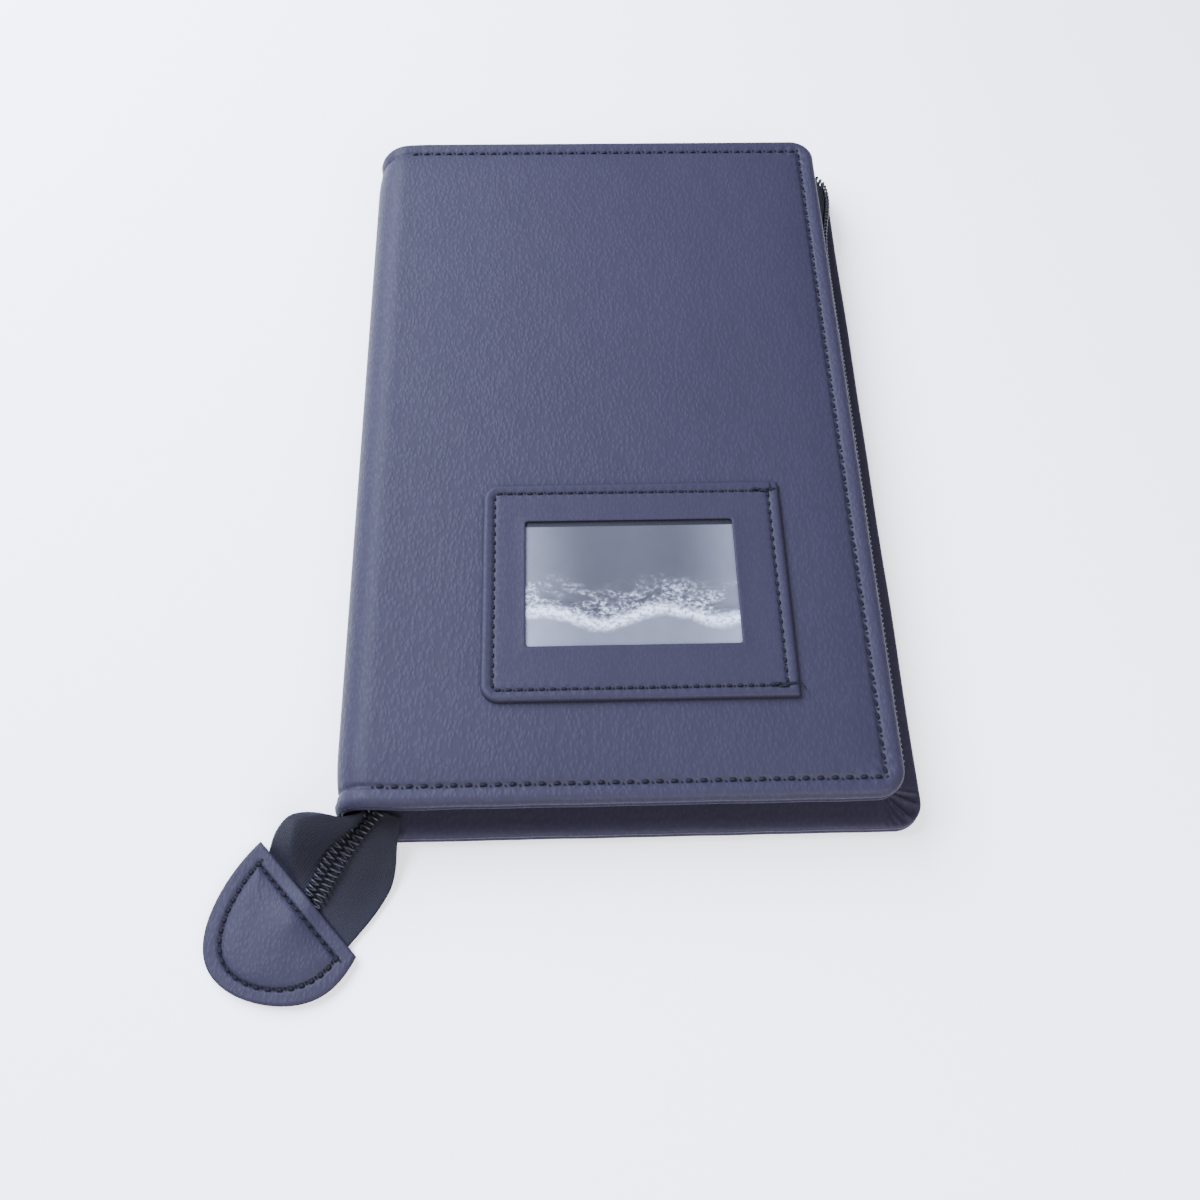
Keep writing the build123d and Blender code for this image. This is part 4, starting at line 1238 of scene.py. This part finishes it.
def id_frame():
    """Frame of the window as a closed section carried round it: up the rolled outer edge, over the
    seam's groove, across to the window's cut edge and back underneath. The fore side is an open mouth,
    so its edge doesn't come down to the cover."""
    counts = (150, 9)      # points to a side and to a corner
    top, under = FRAME_HIGH[2], FILM_HIGH[2]

    def band_ring(inset):
        radii = np.maximum(np.array([5.0, 0.7, 0.7, 5.0]) - inset, 0.05)
        return rounded_ring(FRAME_LOW[:2] + inset, FRAME_HIGH[:2] - inset, radii, *counts)

    outer = smooth_line(FRAME_OUTER, 30)
    rings, levels = [band_ring(inset) for inset in outer[:, 0]], list(top + outer[:, 1])
    last = rounded_ring(FRAME_LOW[:2] + FRAME_BAND, FRAME_HIGH[:2] - FRAME_BAND,
                        np.full(4, 0.05), *counts)
    window = rounded_ring(WINDOW_LOW, WINDOW_HIGH, np.full(4, 0.9), *counts)
    for share, height in FRAME_INNER:
        rings.append(last + share * (window - last))
        levels.append(top + height)
    rings += [last, band_ring(SKIRT_INSET)]
    levels += [under + 0.02, under - 0.2]
    ring = np.stack(rings)
    height = np.repeat(np.array(levels)[:, None], ring.shape[1], axis=1)
    x, y = ring[..., 0], ring[..., 1]
    relief = 0.07 * ripples(x, y, 24, 61) + 0.035 * ripples(x, y, 9, 62)
    skirt = height < under - 0.1
    ends = np.minimum(FRAME_HIGH[1] - y, y - FRAME_LOW[1])
    mouth = smooth((x - FRAME_HIGH[0] + 2.5) / 1.5) * smooth((ends - 4) / 2)
    height = np.where(skirt, height + mouth * (under - 0.1 - height),
                      height + relief * (height > under + 0.1))
    beside = np.abs(x - x.mean()) / 43 > np.abs(y - y.mean()) / 34
    sewn_in = 0.07 * np.cos(2 * pi * np.where(beside, y, x) / ID_STITCH)
    inset = np.minimum(np.minimum(x - FRAME_LOW[0], FRAME_HIGH[0] - x), ends)
    height = height + sewn_in * bell(inset - ID_SEAM, 1.4) * (height > under + 0.15)
    points = np.stack([x, y, height], -1)
    rows, count = height.shape
    around = grid_faces(rows, count, wrap=True)
    first = np.arange(count)
    last_row = (rows - 1) * count + first
    closing = np.stack([last_row, first, np.roll(first, -1), np.roll(last_row, -1)], -1)
    made = piece("id_pocket_frame_leather", points, np.concatenate([around, closing]), FRAME_LEATHER,
                 flip=True)
    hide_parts("id_pocket_frame")
    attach(made, "front_cover")


def id_stitches():
    """Four rows; the rows at the foot and head run on over the fore edge as backtacks with loose ends."""
    level, slant, length, width = FRAME_HIGH[2] - 0.28, 0.13, 0.58, 0.8

    def onto(x, y, height):
        return np.stack(np.broadcast_arrays(x, y, level + height), -1)

    left, right = FRAME_LOW[0] + ID_SEAM, FRAME_HIGH[0] - ID_SEAM
    foot, head = FRAME_LOW[1] + ID_SEAM, FRAME_HIGH[1] - ID_SEAM
    runs = [((left, foot), (right + 3.4, foot + 0.1)), ((right, foot), (right, head)),
            ((right + 2.6, head - 0.2), (left, head)), ((left, head), (left, foot))]
    rows = []
    for start, end in runs:
        centre, heading, spacing = along_line(start, end, ID_STITCH, slant)
        rows.append(stitch_row(centre, heading, spacing, onto, spacing * length, width, arch=0.24))
    for y, tilt in ((foot, 0.1), (head, -0.12)):
        for shift, drop in ((-0.5, 0.35), (-2.6, -0.3), (-4.6, 0.3)):
            centre = np.array([[right + 1.6 + shift, y + drop]])
            rows.append(stitch_row(centre, np.array([tilt]), 3.4, onto, 3.6, width, arch=0.45))
    made = sewn("id_pocket_stitching", rows)
    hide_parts("id_pocket_thread")
    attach(made, "front_cover")
    samples, sides = 24, 6
    foot_end = [(1.5, 0, 0.1), (3.2, 0.4, 0.7), (4.3, -0.6, 0.5), (4.9, -1.6, 0)]
    head_end = [(0.5, 0, 0.1), (0.9, 0.9, 0.8), (0.6, 1.9, 1.1)]
    for name, y, way in (("foot", foot, foot_end), ("head", head, head_end)):
        line = smooth_line(np.array(way) + [right, y, level], samples)
        points, faces = tube(line, 0.16, sides, np.array([0, 0, 1.0]))
        uv = np.repeat(np.linspace(0, 8, samples), sides)[:, None] * [1, 0] + [0, 0.5]
        faces = [faces, tube_ends(points, sides)]
        loose = piece("id_thread_end_" + name, points, faces, THREAD, uv=uv)
        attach(loose, "front_cover")


def flat_layer(name, node, material, body, relief):
    """A thin flat node again with a gently uneven surface: both faces follow one relief."""
    low, high = node_span(node)
    x, y = np.meshgrid(np.linspace(low[0], high[0], 90), np.linspace(low[1], high[1], 60), indexing="ij")
    rest = relief(x, y)
    top = np.stack([x, y, high[2] + rest], -1)
    bottom = np.stack([x, y, low[2] + rest], -1)
    points, faces = closed_sheet(top, bottom)
    uv = np.tile(np.stack([x, y], -1).reshape(-1, 2), (2, 1))
    made = piece(name, points, faces, material, uv=uv)
    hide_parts(node)
    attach(made, body)
    return made


def film_wave(x, y):
    """The film lies in long shallow waves between its sewn edges."""
    inside = smooth((x - FILM_LOW[0]) / 8) * smooth((FILM_HIGH[0] - x) / 8)
    return (0.05 * ripples(x, y, 26, 71) - 0.02) * inside


id_frame()
id_stitches()
flat_layer("id_window_film_clear", "id_window_film", FILM, "front_cover", film_wave)
flat_layer("id_insert_print_sheet", "id_insert_print", PRINT, "front_cover",
           lambda x, y: 0.04 * ripples(x, y, 50, 72) - 0.1)
backing_sheet = flat_layer("id_pocket_backing_cloth", "id_pocket_backing", CLOTH,
                           "front_cover", lambda x, y: 0.02 * ripples(x, y, 20, 73))


# ---------------------------------------------------------------- pockets inside

POCKET_SEAM, HEM_SEAM, POCKET_STITCH = 1.6, 4.4, 3.2


def slip_pocket(node, body, faces_up):
    """A pocket panel: thin at its sewn edges, swelling a little in the middle, with a folded hem along
    the mouth at its head end, and rows of stitches round it."""
    low, high = node_span(node)

    def lines(k, fine):
        """Grid lines along axis k, close together within fine of both edges."""
        return graded(low[k], high[k], lambda v: 0.35 + 1.9 * smooth(
            (np.minimum(v - low[k], high[k] - v) - fine) / 6))

    x, y = np.meshgrid(lines(0, 3), lines(1, 3.5), indexing="ij")
    side, foot, mouth = np.minimum(x - low[0], high[0] - x), y - low[1], high[1] - y
    sewn_edge = np.minimum(side, foot)
    swell = rise((sewn_edge - 1.5) / 14)
    hem = smooth(mouth / 0.5) * (1 - smooth((mouth - 5.4) / 0.7))
    thick = (high - low)[2]
    surface = (thick * (0.62 + 0.1 * swell + 0.28 * hem) - 0.16 * bell(sewn_edge - POCKET_SEAM, 0.5)
               - 0.16 * bell(mouth - HEM_SEAM, 0.4) + 0.05 * ripples(x, y, 30, 81) * swell)
    surface = surface * (0.45 + 0.55 * smooth(np.minimum(sewn_edge, mouth) / 0.4))
    sign, ground = (1, low[2]) if faces_up else (-1, high[2])
    top = np.stack([x, y, ground + sign * surface], -1)
    bottom = np.stack([x, y, np.full(x.shape, ground)], -1)
    points, faces = closed_sheet(top, bottom)
    made = piece(node + "_panel", points, faces, INNER_LEATHER, flip=not faces_up)
    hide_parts(node)
    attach(made, body)

    def onto(a, b, height):
        level = ground + sign * (thick * 0.72 + 0.1 + 0.45 * height)
        return np.stack(np.broadcast_arrays(a, b, level), -1)

    left, right, seam_foot = low[0] + POCKET_SEAM, high[0] - POCKET_SEAM, low[1] + POCKET_SEAM
    corners = [(left, high[1] - 0.6), (left, seam_foot), (right, seam_foot), (right, high[1] - 0.6)]
    hem_row = ((low[0] + 3, high[1] - HEM_SEAM), (high[0] - 3, high[1] - HEM_SEAM))
    rows = []
    for start, end in [*zip(corners[:-1], corners[1:]), hem_row]:
        centre, heading, spacing = along_line(start, end, POCKET_STITCH, 0.08)
        rows.append(stitch_row(centre, heading, spacing, onto, spacing * 0.72, 0.6))
    thread = sewn(node + "_stitching", rows, flip=not faces_up)
    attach(thread, body)


for pocket in ("boarding_pass_pocket", "passport_pocket"):
    slip_pocket(pocket, "back_cover", True)
for pocket in ("ticket_pocket", "card_slot_1", "card_slot_2", "card_slot_3", "card_slot_4"):
    slip_pocket(pocket, "front_cover", False)


def pen_loop():
    """Band of elastic round a pen: a rounded rectangle carried along the loop, its height drawn in
    slightly at both ends."""
    low, high = node_span("pen_loop")
    wall, rows = 0.8, 60
    ring = rounded_ring(low[[0, 2]] + wall / 2, high[[0, 2]] - wall / 2, np.full(4, 2.6), 10, 8)
    y = np.linspace(low[1], high[1], rows)[:, None]
    drawn_in = 0.05 * smooth((np.abs(y) - 8.5) / 2.5)
    above = np.maximum(ring[:, 1] - low[2] - wall, 0)
    points = np.stack(np.broadcast_arrays(ring[:, 0], y, ring[:, 1] - above * drawn_in), -1)
    around = lengths_along(ring)
    uv = np.stack(np.broadcast_arrays(around, y), -1)
    made = piece("pen_loop_elastic", points, grid_faces(rows, len(ring), wrap=True), ELASTIC,
                 uv=uv)
    thickened(made, wall * 0.9, offset=0)
    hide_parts("pen_loop")
    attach(made, "back_cover")


pen_loop()

for node in ("back_board", "front_board"):
    frame["nodes"][node].data.materials.clear()
    frame["nodes"][node].data.materials.append(BOARD)


# ---------------------------------------------------------------- light, floor and camera

def area_light(name, place, aim, size, power, colour=(1, 1, 1)):
    """Rectangular light at a place, facing a point."""
    data = bpy.data.lights.new(name, "AREA")
    data.shape, data.size, data.size_y = "RECTANGLE", size[0] * MM, size[1] * MM
    data.energy, data.color = power, colour
    light = bpy.data.objects.new(name, data)
    bpy.context.scene.collection.objects.link(light)
    place, aim = np.array(place, float), np.array(aim, float)
    back = unit(place - aim)
    right = unit(np.cross([0, 1, 0.01], back))
    up = np.cross(back, right)
    matrix = np.eye(4)
    matrix[:3, :3] = np.stack([right, up, back], -1)
    matrix[:3, 3] = place * MM
    light.matrix_world = Matrix(matrix.tolist())


def floor():
    """Wide pale sweep under the object."""
    side, below = 1500, 0.1
    corners = [(-side, -side), (side, -side), (side, side), (-side, side)]
    mesh = bpy.data.meshes.new("floor")
    mesh.from_pydata([(x * MM, y * MM, -below * MM) for x, y in corners], [], [(0, 1, 2, 3)])
    m = Recipe("floor_white")
    m.set(Base_Color=(0.9, 0.9, 0.93), Roughness=0.8, Specular_IOR_Level=0.1,
          Emission_Color=(0.9, 0.9, 0.95), Emission_Strength=0.45)
    mesh.materials.append(m.material)
    made = bpy.data.objects.new("floor", mesh)
    bpy.context.scene.collection.objects.link(made)


def camera():
    """View down on the foot of the case from 61.5 degrees, turned 3.3 degrees and tilted 2."""
    fall, turn, tilt = radians(61.5), radians(3.33), radians(1.95)
    place, lens = (-17.1, -226.8, 333.3), 38.36
    forward = np.array([sin(turn) * cos(fall), cos(turn) * cos(fall), -sin(fall)])
    right = np.array([cos(turn), -sin(turn), 0])
    up = np.cross(right, forward)
    level, steep = cos(tilt), sin(tilt)
    matrix = np.eye(4)
    matrix[:3, :3] = np.stack([right * level + up * steep, up * level - right * steep, -forward], -1)
    matrix[:3, 3] = np.array(place) * MM
    data = bpy.data.cameras.new("camera")
    data.sensor_width, data.lens = 36.0, lens
    data.clip_start, data.clip_end = 0.01, 20
    made = bpy.data.objects.new("camera", data)
    bpy.context.scene.collection.objects.link(made)
    made.matrix_world = Matrix(matrix.tolist())
    bpy.context.scene.camera = made


def surroundings():
    """Even bluish light from all round."""
    world = bpy.data.worlds.new("studio")
    world.use_nodes = True
    shader = next(n for n in world.node_tree.nodes if n.type == "BACKGROUND")
    shader.inputs["Color"].default_value = (0.86, 0.88, 1.0, 1)
    shader.inputs["Strength"].default_value = 0.5
    bpy.context.scene.world = world


floor()
camera()
surroundings()
area_light("window_light", (-430, 300, 560), (-20, 0, 0), (500, 900), 40.0, (0.72, 0.79, 1.0))
area_light("front_light", (220, -560, 560), (0, -60, 0), (700, 500), 13.0)
